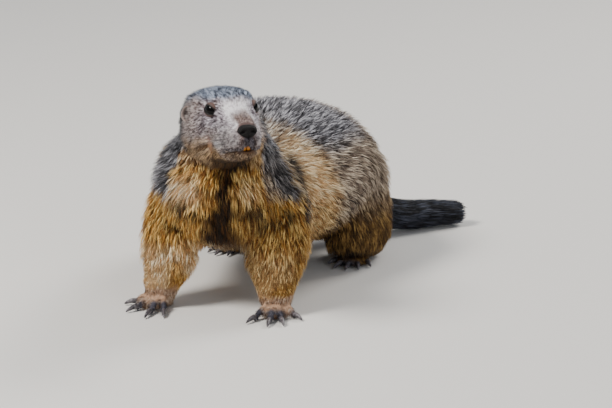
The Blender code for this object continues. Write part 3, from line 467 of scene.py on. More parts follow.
# Mouth: a groove round the muzzle from corner to corner, and the cleft from the nose down to it
mouth_up, mouth_turn, mouth_reach, mouth_sweep = -0.0405, -0.0040, 0.050, math.radians(66)
lip_depth, lip_width, cleft_width = 0.0024, 0.0016, 0.0011
mouth_angle = np.arctan2(np.abs(aside), forward - mouth_reach)
mouth_line = mouth_up + mouth_turn * (1 - np.cos(mouth_angle))
mouth_groove = bump(crown, mouth_line, lip_width) * ease(mouth_angle, mouth_sweep, mouth_sweep * 0.85)
cleft_groove = bump(aside, 0, cleft_width) * ease(crown, mouth_up - 0.0015, mouth_up)
cleft_groove *= ease(crown, -0.0235, -0.0260) * 0.8
groove = np.maximum(mouth_groove, cleft_groove) * (share["head"] > 0.5) * (forward > 0.045)
base -= normals * (lip_depth * groove)[:, None]

# The lips part in front of the incisors
gape_depth = 0.0085
gape = np.exp(-((aside / 0.0038) ** 4)) * ease(crown, -0.0424, -0.0408) * ease(crown, -0.0350, -0.0364)
gape *= (share["head"] > 0.5) * (forward > 0.068)
base -= ahead * (gape_depth * gape)[:, None]
groove = np.maximum(groove, gape)

# Eye sockets: what lies before the eyeball sinks behind its front
eye_radius, eye_bulge = 0.0078, 0.03
eye_look = unit(np.array((0.54, 0.83, 0.14)))
for side in (1, -1):
    centre = head_point(eye_place, side)
    away = base - centre
    far = np.linalg.norm(away, axis=1)
    facing = away @ head_way(eye_look, side) / np.maximum(far, 1e-6)
    sunk = centre + away * (np.minimum(far, eye_radius - 0.0010) / np.maximum(far, 1e-6))[:, None]
    amount = ease(facing, 0.30, 0.62) * (far < eye_radius + 0.008)
    base += (sunk - base) * amount[:, None]

base[:, 2] = np.maximum(base[:, 2], 0.0)
skin.data.vertices.foreach_set("co", (base + home).astype(np.float32).ravel())
skin.data.update()


def aside_of(vectors, ways, part=1.0):
    """The vectors less a part of what they run along the unit ways: v - part (v . way) way."""
    return vectors - (part * np.einsum("ij,ij->i", vectors, ways))[:, None] * ways


_, base_normals, _ = read_mesh(skin)
lie = unit(aside_of(lie, base_normals))


# Markings. The coat is grizzled blue-grey on the back, black-grey on the mantle beside the neck, golden on
# the chest, forelegs and sides, and black on the tail; painted shade darkens it under the chin, down the
# throat, between the forelegs and in the creases of the muzzle. Skin and tufts take their colours from here.
def shade(r, g, b):
    """Light of a screen colour: ((v + 0.055) / 1.055) ^ 2.4, or v / 12.92 where v is small."""
    v = np.array((r, g, b)) / 255
    return np.where(v <= 0.04045, v / 12.92, ((v + 0.055) / 1.055) ** 2.4)


# Screen colours of the dark, middle and light hairs of each kind of fur
furs = {
    "flank": ((50, 40, 34), (138, 118, 102), (232, 214, 190)),
    "belly": ((38, 26, 14), (112, 80, 40), (186, 148, 86)),
    "back": ((26, 25, 28), (88, 86, 92), (214, 212, 218)),
    "gold": ((104, 60, 16), (206, 146, 62), (255, 218, 136)),
    "tan": ((88, 64, 42), (200, 162, 116), (255, 236, 198)),
    "band": ((22, 18, 17), (54, 46, 41), (124, 108, 92)),
    "cream": ((214, 160, 104), (255, 222, 172), (255, 248, 228)),
    # painted shade: the dark fur under the chin, down the throat and between the forelegs
    "throat_shade": ((12, 7, 2), (38, 21, 3), (88, 54, 14)),
    "mantle": ((18, 17, 19), (56, 56, 62), (170, 170, 176)),
    "crown": ((16, 22, 34), (56, 68, 90), (186, 198, 220)),
    "face": ((50, 38, 46), (136, 120, 130), (246, 240, 248)),
    "cheek": ((46, 32, 36), (150, 126, 124), (252, 240, 236)),
    "jowl": ((44, 28, 18), (150, 110, 74), (242, 208, 162)),
    "snout": ((196, 186, 192), (255, 250, 255), (255, 255, 255)),
    "bridge": ((56, 43, 41), (108, 88, 84), (180, 160, 154)),
    # the dark lips, and painted shade in the creases and on the sides of the muzzle
    "lip_and_shade": ((30, 26, 30), (72, 66, 72), (140, 134, 140)),
    "tail": ((9, 9, 13), (27, 28, 36), (86, 90, 104)),
    "wrist": ((84, 62, 48), (186, 150, 122), (244, 222, 200)),
    "digit": ((34, 32, 38), (72, 70, 80), (122, 120, 130)),
}
fur_colours = np.array([[shade(*colour) for colour in hairs] for hairs in furs.values()])


def scatter(cells, seed):
    """Three even chances for each cube of a lattice, from its whole numbers times large primes."""
    n = cells[..., 0] * 73856093 ^ cells[..., 1] * 19349663 ^ cells[..., 2] * 83492791 ^ (seed * 7919 + 13)
    chances = []
    for k in range(3):
        n = (n ^ (n >> 15)) * 1274126177 & 0x7FFFFFFF
        n = (n ^ (n >> 12)) * 974711 & 0x7FFFFFFF
        chances.append((n >> 3) % 65536 / 65536)
    return np.stack(chances, -1)


def drift(points, size, seed):
    """Three smooth values from -1 to 1 that drift from cube to cube of a lattice of this size."""
    cell = np.floor(points / size).astype(np.int64)
    t = points / size - cell
    t = t * t * (3 - 2 * t)
    total = np.zeros_like(points)
    for corner in itertools.product((0, 1), repeat=3):
        part = np.prod(np.where(corner, t, 1 - t), axis=1)
        total += part[:, None] * scatter(cell + corner, seed)
    return total * 2 - 1


shoulder_turn, shoulder_point = math.radians(15), np.array((0.013, -0.140, 0.0))
shoulder_side = np.array((math.cos(shoulder_turn), math.sin(shoulder_turn), 0.0))
shoulder_front = np.array((math.sin(shoulder_turn), -math.cos(shoulder_turn), 0.0))


def fur_shares(points, share):
    """How much of each kind of fur grows at a place: kinds laid one over another, each by its own mask, the
    product of eased edges in millimetres, or in degrees round the neck from the breast's middle."""
    soft = points + drift(points, 0.016, 3) * 0.0045 + drift(points, 0.006, 4) * 0.0022
    x, y, z = soft.T * 1000
    sideways = (soft - shoulder_point) @ shoulder_side * 1000
    front = (soft - shoulder_point) @ shoulder_front * 1000
    round_neck = np.degrees(np.arctan2(np.abs(sideways), front))
    forward, aside, crown = ((soft - head_middle) @ head_axes.T).T * 1000
    aside = np.abs(aside)
    head = ease(share["head"], 0.35, 0.65)
    before = ease(y, -98, -112)
    mix = np.zeros((len(points), len(furs)))
    mix[:, 0] = 1.0

    def lay(kind, mask):
        mask = np.clip(mask, 0, 1)[:, None]
        mix[:] *= 1 - mask
        mix[:, list(furs).index(kind)] += mask[:, 0]

    # Belly, back, sides and legs
    lay("belly", ease(z, 66, 44) * (1 - before))
    lay("tan", ease(y, 84, 112) * ease(z, 150, 120) * 0.45)
    lay("back", ease(z, 134, 158) * ease(y, 120, 60))
    side_back = -28 + np.clip(115 - z, -45, 60) * 0.5
    lay("tan", ease(y - side_back, 22, -18) * ease(z, 192, 158) * (1 - before))
    lay("gold", ease(y - side_back, 14, -14) * ease(z, 152, 128) * (1 - before) * 0.55)
    lay("tan", ease(round_neck, 92, 98) * before * ease(z, 190, 170))
    lay("gold", ease(round_neck, 62, 54) + ease(z, 126, 114) * before)
    lay("belly", share["legs"] * ease(y, -60, -30) * ease(z, 90, 60) * 0.8)
    lay("belly", ease(z, 110, 80) * ease(sideways, 10, 30) * before * 0.35)
    lay("cream", ease(y - side_back, 14, -14) * ease(z, 84, 108) * ease(z, 172, 150) * (1 - before) * 0.4)
    stripe = bump(y, -92 - 20 * ease(z, 126, 106), 8) * ease(z, 84, 98) * ease(z, 160, 144)
    stripe *= ease(np.abs(x), 50, 60)
    lay("band", np.minimum(1, 1.7 * stripe))
    lay("belly", ease(z, 62, 40) * ease(y, 20, 50) * 0.8)

    # Throat, breast and forelegs: the dark throat fur is painted shade under the chin, down the throat and
    # between the forelegs
    middle_width = 7 + 9 * ease(z, 140, 156) + 10 * ease(z, 118, 104)
    middle_line = 10 + 11 * ease(z, 144, 158) - 6 * ease(z, 116, 104)
    throat_shade = np.minimum(1, 1.3 * bump(sideways, middle_line, middle_width)) * ease(front, 12, 28)
    lay("throat_shade", throat_shade * ease(z, 184, 174))
    lay("throat_shade", bump(sideways, 24, 24) * bump(z, 157, 9) * ease(front, 18, 34) * 0.45)
    lay("throat_shade", ease(z, 96, 78) * ease(np.abs(sideways - 4), 26, 12) * before * 0.9)
    # partly painted sunlight: the cream patch on the right of the breast is laid stronger than its mate on
    # the left
    lay("cream", np.minimum(1, 1.5 * bump(sideways, -37, 16) * bump(z, 127, 13)) * before)
    lay("cream", bump(sideways, 34, 10) * bump(z, 130, 10) * before * 0.5)
    leg_pale = ease(z, 76, 52) * ease(drift(points, 0.022, 9)[:, 0], -0.35, 0.5) * before
    lay("cream", leg_pale * np.where(sideways < 0, 0.70, 0.20))

    # Mantle beside the neck, wider on the left
    mantle_front = 58 + np.where(sideways > 0, np.clip(168 - z, 0, 50) * 0.52, 0)
    mantle_back = np.where(sideways > 0, 103 - np.clip(150 - z, 0, 40) * 0.4, 116)
    mantle = ease(round_neck, mantle_front - 4, mantle_front + 5)
    mantle *= ease(round_neck, mantle_back + 5, mantle_back - 5)
    mantle *= ease(z, 115, 127) * before
    lay("mantle", mantle)
    # painted sky light: on the right side the mantle is lightened towards the back's blue-grey
    lay("back", mantle * ease(sideways, -10, -30) * 0.55)
    lay("band", mantle * ease(sideways, 10, 30) * 0.45)
    lay("mantle", ease(round_neck, 54, 70) * ease(z, 158, 172) * ease(y, -92, -118) * (1 - head))

    # Cheeks, jowls, crown and nape
    lay("cheek", head)
    lay("jowl", head * ease(crown, -20, -38) * ease(forward, 62, 44))
    neck_jowl = ease(z, 149, 158) * ease(round_neck, 62, 52) * ease(front, 10, 26)
    lay("jowl", neck_jowl * (1 - head) * (1 - throat_shade))
    lay("face", head * ease(forward, 20, 38) * ease(crown, -26, -14))
    lay("crown", head * ease(crown - 0.28 * aside, 1, 10) * ease(forward, 60, 42))
    lay("mantle", head * ease(forward, 0, -14) * ease(crown, -30, -8))
    nape = ease(forward, -10, -20) * ease(crown, -44, -30)
    nape = np.maximum(nape, ease(forward, 36, 22) * ease(crown, -28, -14) * (1 - head))
    lay("mantle", nape * ease(y, -84, -100))

    # White blaze and muzzle, brown bridge, dark lips, painted shade in the crease beside the muzzle and on
    # its sides, painted throat shade under the chin, and rings round the eyes
    blaze = head * ease(forward, 44, 56) * ease(crown, -18, -8) * ease(aside, 17, 9)
    lay("snout", blaze * ease(crown, 14, 4))
    lay("snout", head * ease(forward, 54, 66) * ease(crown, -40, -34) * ease(crown, -8, -20) * 0.4)
    # painted shade in the crease between the cheek and the muzzle
    lay("lip_and_shade", head * bump(forward, 66, 3.5) * bump(crown, -27, 8) * 0.6)
    lay("snout", head * bump(forward, 55, 6) * bump(crown, -30, 5.5))
    lay("bridge", head * ease(crown, 2, -8) * ease(forward, 59, 69) * ease(aside, 12, 7))
    # painted shade on the sides of the muzzle and under the nose
    lay("lip_and_shade", head * ease(forward, 63, 71) * ease(crown, -20, -29) * 0.35)
    lay("lip_and_shade", head * ease(forward, 76, 82) * ease(crown, -23, -27) * ease(aside, 7, 4))
    lay("lip_and_shade", head * bump(crown, mouth_up * 1000 - 0.8, 2.2) * ease(forward, 48, 60) * 0.9)
    lay("jowl", head * ease(forward, 50, 60) * ease(crown, -42, -45) * 0.7)
    # painted shade under the chin and the jaw
    lay("throat_shade", head * ease(crown, -42, -46) * ease(forward, 50, 60) * 0.5)
    under_chin = ease(crown, -45, -50) * ease(crown, -68, -60) * ease(forward, 2, 14) * ease(forward, 80, 66)
    lay("throat_shade", under_chin * ease(aside, 28, 18) * 0.85)
    lay("throat_shade", head * ease(crown, -48, -54) * 0.8)
    eye_gap = np.linalg.norm(np.stack([forward, aside, crown], -1) - np.array(eye_place) * 1000, axis=1)
    lay("bridge", head * ease(eye_gap, 13.0, 9.0) * 0.8)

    # Tail, wrists, ankles, and the digits from beyond the palm
    lay("tail", ease(share["tail"], 0.35, 0.6) * ease(y, 138, 158))
    lay("wrist", share["legs"] * ease(z, 25, 18) * ease(y, -40, -60))
    lay("belly", share["legs"] * ease(z, 30, 20) * ease(y, 20, 40) * 0.8)
    on_digits = np.zeros(len(points))
    for foot in feet.values():
        wrist, axis = foot_place(foot)
        away = points - wrist[:3]
        spread = np.linalg.norm(away[:, :2], axis=1)
        edge = foot["pad"][0] * 1000 + 6
        ahead_of_wrist = (spread < 0.062) & (away @ axis * 1000 > -4)
        on_digits = np.maximum(on_digits, ahead_of_wrist * ease(spread * 1000, edge, edge + 7))
    lay("digit", share["paw"] * on_digits)
    return mix


def hair_colour(mix, chance):
    """Colour between dark, middle and light hairs, 0 to 1, of the kinds of fur in their shares."""
    dark, middle, light = (mix @ fur_colours[:, k] for k in range(3))
    t = chance[:, None]
    return np.where(t < 0.5, dark + (middle - dark) * t * 2, middle + (light - middle) * (t * 2 - 1))


def colour_points(mesh, colours):
    """The colours as the mesh's fur attribute, one for each of its points."""
    layer = mesh.color_attributes.new("fur", "FLOAT_COLOR", "POINT")
    opaque = np.column_stack([colours, np.ones(len(colours))]).astype(np.float32)
    layer.data.foreach_set("color", opaque.ravel())


skin_mix = fur_shares(outline, share)
# The skin between the tufts is darkened by painted shade where the coat is deep, less on the face and the
# paws
coat_depth_shade = 0.40 + 0.45 * np.clip(share["head"] * ease(forward, 0.0, 0.05) + share["paw"], 0, 1)
skin_colours = hair_colour(skin_mix, 0.42 + 0.10 * drift(outline, 0.0035, 21)[:, 0]) * coat_depth_shade[:, None]
# darker in the mouth groove, the cleft and the gape: the lips' own dark bare skin, and painted shade in the
# gape
skin_colours *= (1 - 0.85 * groove)[:, None]
colour_points(skin.data, skin_colours)


def grained_material(name, pattern, scale, roughness, specular, lift, strength=1.0):
    """A material with its shader and pattern nodes: the fine pattern on Object coordinates lifts the surface
    by the given height, or sinks it where that is negative."""
    made = bpy.data.materials.new(name)
    made.use_nodes = True
    nodes, links = made.node_tree.nodes, made.node_tree.links
    shader = nodes["Principled BSDF"]
    shader.inputs["Roughness"].default_value = roughness
    shader.inputs["Specular IOR Level"].default_value = specular
    place = nodes.new("ShaderNodeTexCoord")
    grain = nodes.new("ShaderNodeTex" + pattern)
    grain.inputs["Scale"].default_value = scale
    links.new(place.outputs["Object"], grain.inputs["Vector"])
    if lift:
        raised = nodes.new("ShaderNodeBump")
        raised.invert = lift < 0
        raised.inputs["Strength"].default_value = strength
        raised.inputs["Distance"].default_value = abs(lift)
        links.new(grain.outputs[0], raised.inputs["Height"])
        links.new(raised.outputs["Normal"], shader.inputs["Normal"])
    return made, shader, grain


def fur_material(name, roughness, scale, lift):
    """Colour from the fur attribute, lightened and darkened a little by fine noise that also lifts it."""
    made, shader, grain = grained_material(name, "Noise", scale, roughness, 0.25, lift, 0.6)
    grain.inputs["Detail"].default_value = 3.0
    nodes, links = made.node_tree.nodes, made.node_tree.links
    colour = nodes.new("ShaderNodeAttribute")
    colour.attribute_name = "fur"
    level = nodes.new("ShaderNodeMapRange")
    level.inputs["To Min"].default_value = 0.62
    level.inputs["To Max"].default_value = 1.38
    links.new(grain.outputs["Fac"], level.inputs["Value"])
    tinted = nodes.new("ShaderNodeVectorMath")
    tinted.operation = "SCALE"
    links.new(colour.outputs["Color"], tinted.inputs[0])
    links.new(level.outputs["Result"], tinted.inputs["Scale"])
    links.new(tinted.outputs["Vector"], shader.inputs["Base Color"])
    return made


skin.data.materials.append(fur_material("hide", 0.8, 900.0, 0.0006))
skin.data.shade_smooth()
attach(skin, "root")
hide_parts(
    "head", "neck", "chest", "abdomen", "rump", "tail", "foreleg_left", "foreleg_right", "hindleg_left",
    "hindleg_right", "forepaw_left", "forepaw_right", "hindfoot_left", "hindfoot_right",
)


# Eyes. Dark glass balls with a clear, slightly bulging front, set deep in the sockets. Two lids of bare skin
# with dark rims lie over each ball and leave an almond opening, whose inner corner drops to the nose.
def dome(centre, axis, across, polar, turn, reach):
    """Grid of places at a reach from the centre, by the polar angle from the axis and the turn round it."""
    high = np.cross(across, axis)
    ring = np.sin(polar)[..., None] * (np.cos(turn)[:, None] * across + np.sin(turn)[:, None] * high)
    return centre + reach[..., None] * (np.cos(polar)[..., None] * axis + ring)


def ball(centre, radius, axis, swell):
    """Grid of a ball about its own axis, radius (1 + swell exp(-(polar / 0.5)^2)) for the clear front."""
    polar = np.linspace(0.004, math.pi - 0.004, 40)[:, None]
    reach = radius * (1 + swell * bump(polar, 0, 0.5))
    return dome(centre, axis, unit(np.cross(axis, crownward)), polar, round_turn(48), reach)


def mottled_material(name, pattern, scale, colours, roughness, specular, lift=0.0, stops=(0.0, 1.0)):
    """Two screen colours mixed by a fine pattern, from one value of it to another."""
    made, shader, grain = grained_material(name, pattern, scale, roughness, specular, lift)
    ramp = made.node_tree.nodes.new("ShaderNodeValToRGB")
    for end, stop, colour in zip(ramp.color_ramp.elements, stops, colours):
        end.position = stop
        end.color = (*shade(*colour), 1)
    made.node_tree.links.new(grain.outputs[0], ramp.inputs["Fac"])
    made.node_tree.links.new(ramp.outputs["Color"], shader.inputs["Base Color"])
    return made


eye_glass = mottled_material("eye_glass", "Noise", 420.0, ((2, 2, 3), (10, 7, 6)), 0.05, 0.13)
lid_rim_colour, lid_skin_colour = shade(18, 14, 14), shade(104, 82, 76)
lid_opening = (1.00, 0.45)  # half angles of the opening across and up, in radians
lid_reach = 1.72  # angle from the opening's middle to the lids' hidden edge
lid_slant = math.radians(20)  # how far the inner corner drops towards the nose


def blend(first, second, part):
    """The first colour, the second, or what lies that part of the way between them."""
    return first + (second - first) * part


def lids(side):
    """Grid of both lids as one shell over the ball: polar angle from the rim, an ellipse of half angles a
    and b, out to the socket; radius from the rim's rolled edge up to the lid's own thickness."""
    look = head_way(eye_look, side)
    inner = ahead * math.cos(lid_slant) - crownward * math.sin(lid_slant)
    across = unit(inner - (inner @ look) * look)
    turn = round_turn(56)
    a, b = lid_opening
    rim = a * b / np.sqrt((b * np.cos(turn)) ** 2 + (a * np.sin(turn)) ** 2)
    rim = rim * (1 + 0.10 * np.cos(turn) ** 6)
    steps = np.array((0.06, 0.0, 0.0, 0.05, 0.16, 0.34, 0.56, 0.80, 1.0))[:, None]
    lift = np.array((-0.0004, 0.0001, 0.0007, 0.0012, 0.0014, 0.0010, 0.0003, -0.0010, -0.0024))[:, None]
    polar = rim + steps * (lid_reach - rim)
    grid = dome(head_point(eye_place, side), look, across, polar, turn, eye_radius + lift)
    tone = ease(steps - 0.16 * np.cos(turn) ** 8, 0.05, 0.24)[..., None]
    return grid, blend(lid_rim_colour, lid_skin_colour, tone)


def open_tube(grid):
    """Points and triangles of a ring-by-ring grid whose ends stay open."""
    points, triangles = closed_tube(grid)
    return points[:-2], triangles[(triangles < len(points) - 2).all(1)]


lid_material = fur_material("lid_skin", 0.5, 1400.0, 0.0003)
for side, name in ((1, "left"), (-1, "right")):
    centre = head_point(eye_place, side)
    glass = closed_tube(ball(centre, eye_radius, head_way(eye_look, side), eye_bulge))
    eye = put_mesh("eye_ball_" + name, *gathered([glass]))
    eye.data.materials.append(eye_glass)
    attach(eye, "root")
    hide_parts("eye_" + name)
    grid, tone = lids(side)
    lid_points, lid_triangles = open_tube(grid)
    a, b, c = (lid_points[lid_triangles[:, k]] for k in range(3))
    facing = np.einsum("ij,ij->i", np.cross(b - a, c - a), a - centre).sum() > 0
    lid = put_mesh("lids_" + name, lid_points, lid_triangles if facing else lid_triangles[:, ::-1])
    colour_points(lid.data, tone.reshape(-1, 3))
    wall = lid.modifiers.new("wall", "SOLIDIFY")
    wall.thickness = 0.0005
    wall.offset = -1.0
    lid.data.materials.append(lid_material)
    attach(lid, "root")

# Nose. A bare black pad of pebbled leathery skin grown over the tip of the muzzle, wider than high and
# narrower below, with two comma nostrils and a shallow furrow down its middle.
nose_centre, nose_size = (0.0850, 0.0, -0.0210), (0.0064, 0.0100, 0.0068)


def nose_grid():
    """Superellipse rings carried forward over the tip; the pad is dented by two bumps of depth where the
    nostrils open, and by a shallow middle furrow."""
    t = np.linspace(-1, 1, 44)
    widths = np.interp(t, (-1.0, -0.6, 0.0, 0.6, 0.88, 1.0), (0.45, 0.86, 1.0, 0.92, 0.66, 0.02))
    heights = np.interp(t, (-1.0, -0.6, 0.0, 0.6, 0.88, 1.0), (0.45, 0.86, 1.0, 0.90, 0.62, 0.02))
    turn = round_turn(64)
    across = powered(np.cos(turn), 0.70) * widths[:, None] * nose_size[1]
    rise = powered(np.sin(turn), 0.88) * heights[:, None] * nose_size[2]
    across = across * (1 - 0.36 * (rise < 0) * np.abs(rise) / nose_size[2])
    front = np.broadcast_to(t[:, None] * nose_size[0], across.shape)
    hole = bump(np.abs(across), 0.0046, 0.0017) * bump(rise + 0.25 * np.abs(across), 0.0012, 0.0013)
    slit = bump(np.abs(across), 0.0066, 0.0013) * bump(rise, -0.0010, 0.0011) * 0.6
    furrow = bump(across, 0, 0.0006) * (rise < 0.001) * 0.22
    front = front - (np.maximum(hole, slit) * 0.0042 + furrow * 0.003) * ease(front, 0.001, 0.004)
    return head_point(np.array(nose_centre) + np.stack([front, across, rise], -1))


nose = put_mesh("nose_pad", *gathered([closed_tube(nose_grid())]))
pebbles = ((16, 13, 13), (6, 4, 4))
nose.data.materials.append(mottled_material("nose_leather", "Voronoi", 1500.0, pebbles, 0.50, 0.20, -0.0004))
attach(nose, "root")
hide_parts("nose")

# Incisors. Two upper front teeth, chisels of ivory with orange enamel on the front. They are rooted in the
# jaw behind the upper lip, and their ends show between the parted lips.
incisor_forward, incisor_root, incisor_gap = 0.0785, 0.0078, 0.0002
incisor_half_width, incisor_half_depth, incisor_length = 0.0019, 0.0016, 0.0068


def incisor_grid(side):
    """Square-sided rings carried down a shallow arc, thinning from the root to the chisel edge."""
    t = np.linspace(0, 1, 16)
    front = np.interp(t, (0, 0.35, 0.7, 1), (0, 0.0006, 0.0006, -0.0002))
    depth = np.interp(t, (0, 0.35, 0.7, 0.9, 1), (1, 1, 0.95, 0.7, 0.25)) * incisor_half_depth
    width = np.interp(t, (0, 0.8, 0.95, 1), (1, 1, 0.94, 0.82)) * incisor_half_width
    turn = round_turn(24)
    across = powered(np.cos(turn), 0.6) * width[:, None]
    thick = powered(np.sin(turn), 0.7) * depth[:, None]
    return head_point(np.stack(np.broadcast_arrays(
        incisor_forward + front[:, None] + thick,
        side * (incisor_half_width + incisor_gap) + across,
        mouth_up + incisor_root - incisor_length * t[:, None],
    ), -1))


enamel = mottled_material("incisor_enamel", "Noise", 300.0, ((166, 92, 18), (216, 144, 44)), 0.25, 0.5)
for side, name in ((1, "left"), (-1, "right")):
    tooth = put_mesh("tooth_" + name, *gathered([closed_tube(incisor_grid(side))]))
    tooth.data.materials.append(enamel)
    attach(tooth, "root")
    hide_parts("incisor_" + name)

# Whiskers. Thin springy bristles in three rows on each side of the muzzle, dark at the root and pale at the
# tip, swept back and a little down; each is rooted in the whisker pad, under the skin.
whisker_rows, whisker_ranks = 3, 4
whisker_radius = 0.00021


def whisker_grid(side, row, rank):
    """Round rings along root + way s, less droop s^2 in height; the radius falls to a sixth at the tip."""
    root = head_point((0.0700 - 0.0042 * rank, 0.0165 + 0.0010 * rank, -0.0235 - 0.0040 * row), side)
    way = head_way(unit(np.array((-0.42 - 0.12 * rank, 0.86, 0.16 - 0.20 * row))), side)
    length, droop = 0.021 + 0.004 * rank, 0.10 + 0.05 * row
    stations = []
    for t in np.linspace(0, 1, 6):
        middle = root + way * length * t - (0, 0, droop * length * t * t)
        stations.append((*middle, *[whisker_radius * (1 - 0.83 * t)] * 3))
    return limb(stations, ahead, 12, 5)


whisker_horn = fur_material("whisker_horn", 0.35, 500.0, 0.0001)
for side, name in ((1, "left"), (-1, "right")):
    places = itertools.product(range(whisker_rows), range(whisker_ranks))
    grids = [whisker_grid(side, row, rank) for row, rank in places]
    whiskers = put_mesh("whiskers_" + name, *gathered([closed_tube(grid) for grid in grids]))
    tip_share = np.tile(np.concatenate([np.repeat(np.linspace(0, 1, 12), 5), (0, 1)]), len(grids))[:, None]
    colour_points(whiskers.data, blend(shade(34, 30, 30), shade(150, 144, 140), tip_share))
    whiskers.data.materials.append(whisker_horn)
    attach(whiskers, "root")

# Ears. Small round cups of thin skin over gristle, dished towards the front and rooted in the sides of the
# head; they are furred outside and bare within, where the hollow is painted dark with shade.
ear_centre, ear_size = (0.0026, 0.0352, -0.0020), (0.0064, 0.0076)
ear_depth, ear_wall = 0.0050, 0.0014
ear_face = unit(np.array((0.42, 0.88, 0.12)))


def ear_axes(side):
    """The way that an ear faces, and the ways across it and up it."""
    face = head_way(ear_face, side)
    across = unit(np.cross(crownward, face))
    return face, across, np.cross(face, across)


def ear_point(side, reach, turn, wall):
    """centre + reach (a cos turn across + b sin turn high) + dish reach^2 along the way it faces - wall."""
    face, across, high = ear_axes(side)
    lobe = 1 + 0.10 * np.sin(turn) - 0.05 * np.cos(3 * turn)
    wide = ear_size[0] * np.cos(turn) * lobe * reach
    tall = ear_size[1] * np.sin(turn) * lobe * reach
    flat = wide[..., None] * across + tall[..., None] * high
    dish = ear_depth * (reach**2 - 1) + 0.0012 * ease(reach, 0.7, 1.0)
    return head_point(ear_centre, side) + flat + (dish - wall)[..., None] * face


def ear_grid(side):
    """The inside from the middle out to the rim, then the outside back to the middle."""
    reach = np.concatenate([np.linspace(0.02, 1, 16), (1.03, 1.03), np.linspace(1, 0.02, 16)])[:, None]
    wall = np.concatenate([np.zeros(16), (0.0003, 0.0011), np.full(16, ear_wall)])[:, None]
    return ear_point(side, *np.broadcast_arrays(reach, round_turn(44), wall))


ear_material = fur_material("ear_skin", 0.7, 1000.0, 0.0004)
for side, name in ((1, "left"), (-1, "right")):
    ear = put_mesh("ear_cup_" + name, *gathered([closed_tube(ear_grid(side))]))
    # painted shade: the hollow darkens towards its middle, pale at the rim and outside
    ring = np.concatenate([np.linspace(0, 1, 16), (1, 1), np.full(16, 1.4)])
    clear_of_hollow_shade = np.concatenate([ease(np.repeat(ring, 44), 0.70, 1.0), (0, 1)])[:, None]
    colour_points(ear.data, blend(shade(30, 22, 22), shade(150, 134, 128), clear_of_hollow_shade))
    ear.data.materials.append(ear_material)
    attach(ear, "root")
    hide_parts("ear_" + name)

# Claws. Blunt digging claws of dark horn, one rooted in the tip of each digit, arched over, with pale streaks
# that are partly worn horn and partly painted glints.
claw_thickness = 0.0028
claw_profile = (
    (-0.30, 0.0004, 0.80),
    (0.00, 0.0009, 1.00),
    (0.30, 0.0009, 0.94),
    (0.60, 0.0000, 0.76),
    (0.85, -0.0012, 0.50),
    (1.00, -0.0022, 0.18),
)


def claw_grid(root, way, length):
    """Round rings, a little narrower than tall, carried along the arch from inside the digit to the tip."""
    stations = []
    for t, rise, size in claw_profile:
        middle = root + way * length * t + (0, 0, rise)
        r = claw_thickness * size
        stations.append((*middle, r * 0.80, r, r * 0.9))
    return limb(stations, (0, 0, 1), 16, 14)


# pale streaks: partly worn horn, partly painted glints
streaks_and_glints = ((40, 37, 42), (124, 118, 122))
horn = mottled_material("claw_horn_glinting", "Noise", 380.0, streaks_and_glints, 0.38, 0.5, 0.0003, (0.35, 0.72))
horn.node_tree.nodes["Noise Texture"].inputs["Detail"].default_value = 4.0
for name, claws in foot_claws.items():
    nails = put_mesh("claws_" + name, *gathered([closed_tube(claw_grid(*claw)) for claw in claws]))
    nails.data.materials.append(horn)
    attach(nails, "root")
    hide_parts(*[f"claw_{name}_{k + 1}" for k in range(len(claws))])

# Coat. Tufts of a few hairs, rooted all over the skin and lying back along the body; neighbours lean
# together into locks. Long guard tufts are closed three-sided blades that bend once and end in a point; the
# woolly undercoat below them, and the short fur of the head and paws, are closed three-sided spikes.
blade_faces = np.array([
    (0, 2, 1), (0, 1, 4), (0, 4, 3), (1, 2, 5), (1, 5, 4), (2, 0, 3), (2, 3, 5),
    (3, 4, 6), (4, 5, 6), (5, 3, 6),
])
blade_map = np.array([(0, 0), (0, 0.5), (0, 1), (0.5, 0), (0.5, 0.5), (0.5, 1), (1, 0.5)])
spike_faces = np.array([(0, 2, 1), (0, 1, 3), (1, 2, 3), (2, 0, 3)])
spike_map = np.array([(0, 0), (0, 0.5), (0, 1), (1, 0.5)])
draw = np.random.default_rng(7)


def locks_of(points, size, seed):
    """The nearest of the centres strewn one to a cube of a lattice, and the chances that go with it."""
    cell = np.floor(points / size).astype(np.int64)
    best = np.full(len(points), np.inf)
    centre, chance = np.zeros_like(points), np.zeros_like(points)
    for step in itertools.product((-1, 0, 1), repeat=3):
        near = cell + step
        place = (near + scatter(near, seed)) * size
        gap = ((points - place) ** 2).sum(1)
        closer = gap < best
        best[closer] = gap[closer]
        centre[closer] = place[closer]
        chance[closer] = scatter(near, seed + 1)[closer]
    return centre, chance


def roots_on_skin(density, count):
    """Places strewn over the skin's triangles by area times density, with each corner's part in them."""
    a, b, c = (base[triangles[:, k]] for k in range(3))
    area = np.linalg.norm(np.cross(b - a, c - a), axis=1) * density[triangles].mean(1)
    chosen = triangles[np.searchsorted(np.cumsum(area) / area.sum(), np.sort(draw.random(count)))]
    u, v = np.sqrt(draw.random(count)), draw.random(count)
    return chosen, np.stack([1 - u, u * (1 - v), u * v], -1)


def at_roots(values, roots):
    """The skin's values at the roots, each the mean of its triangle's corners by their parts in it."""
    chosen, part = roots
    return np.einsum("nk,nk...->n...", part, values[chosen])


def blades(root, normal, bend, tip, width, sink=0.0012):
    """Seven points a tuft: three round the root, three round the bend, and the tip; each three are a
    triangle as wide as the tuft, and 0.3 of that high along the normal."""
    side = unit(np.cross(normal, tip - root))
    flat = (side * 0.5, side * -0.5, normal * 0.30)
    low, w = root - normal * sink, width[:, None]
    return np.stack([low + f * w * 0.8 for f in flat] + [bend + f * w for f in flat] + [tip], 1)


def spikes(root, normal, tip, width, sink=0.0010):
    """Four points a tuft: three round the root, and the tip."""
    side = unit(np.cross(normal, tip - root))
    flat = (side * 0.5, side * -0.5, normal * 0.35)
    low = root - normal * sink
    return np.stack([low + f * width[:, None] for f in flat] + [tip], 1)


coat_material = fur_material("coat_hair", 0.62, 700.0, 0.0002)
floor_gap = 0.0004


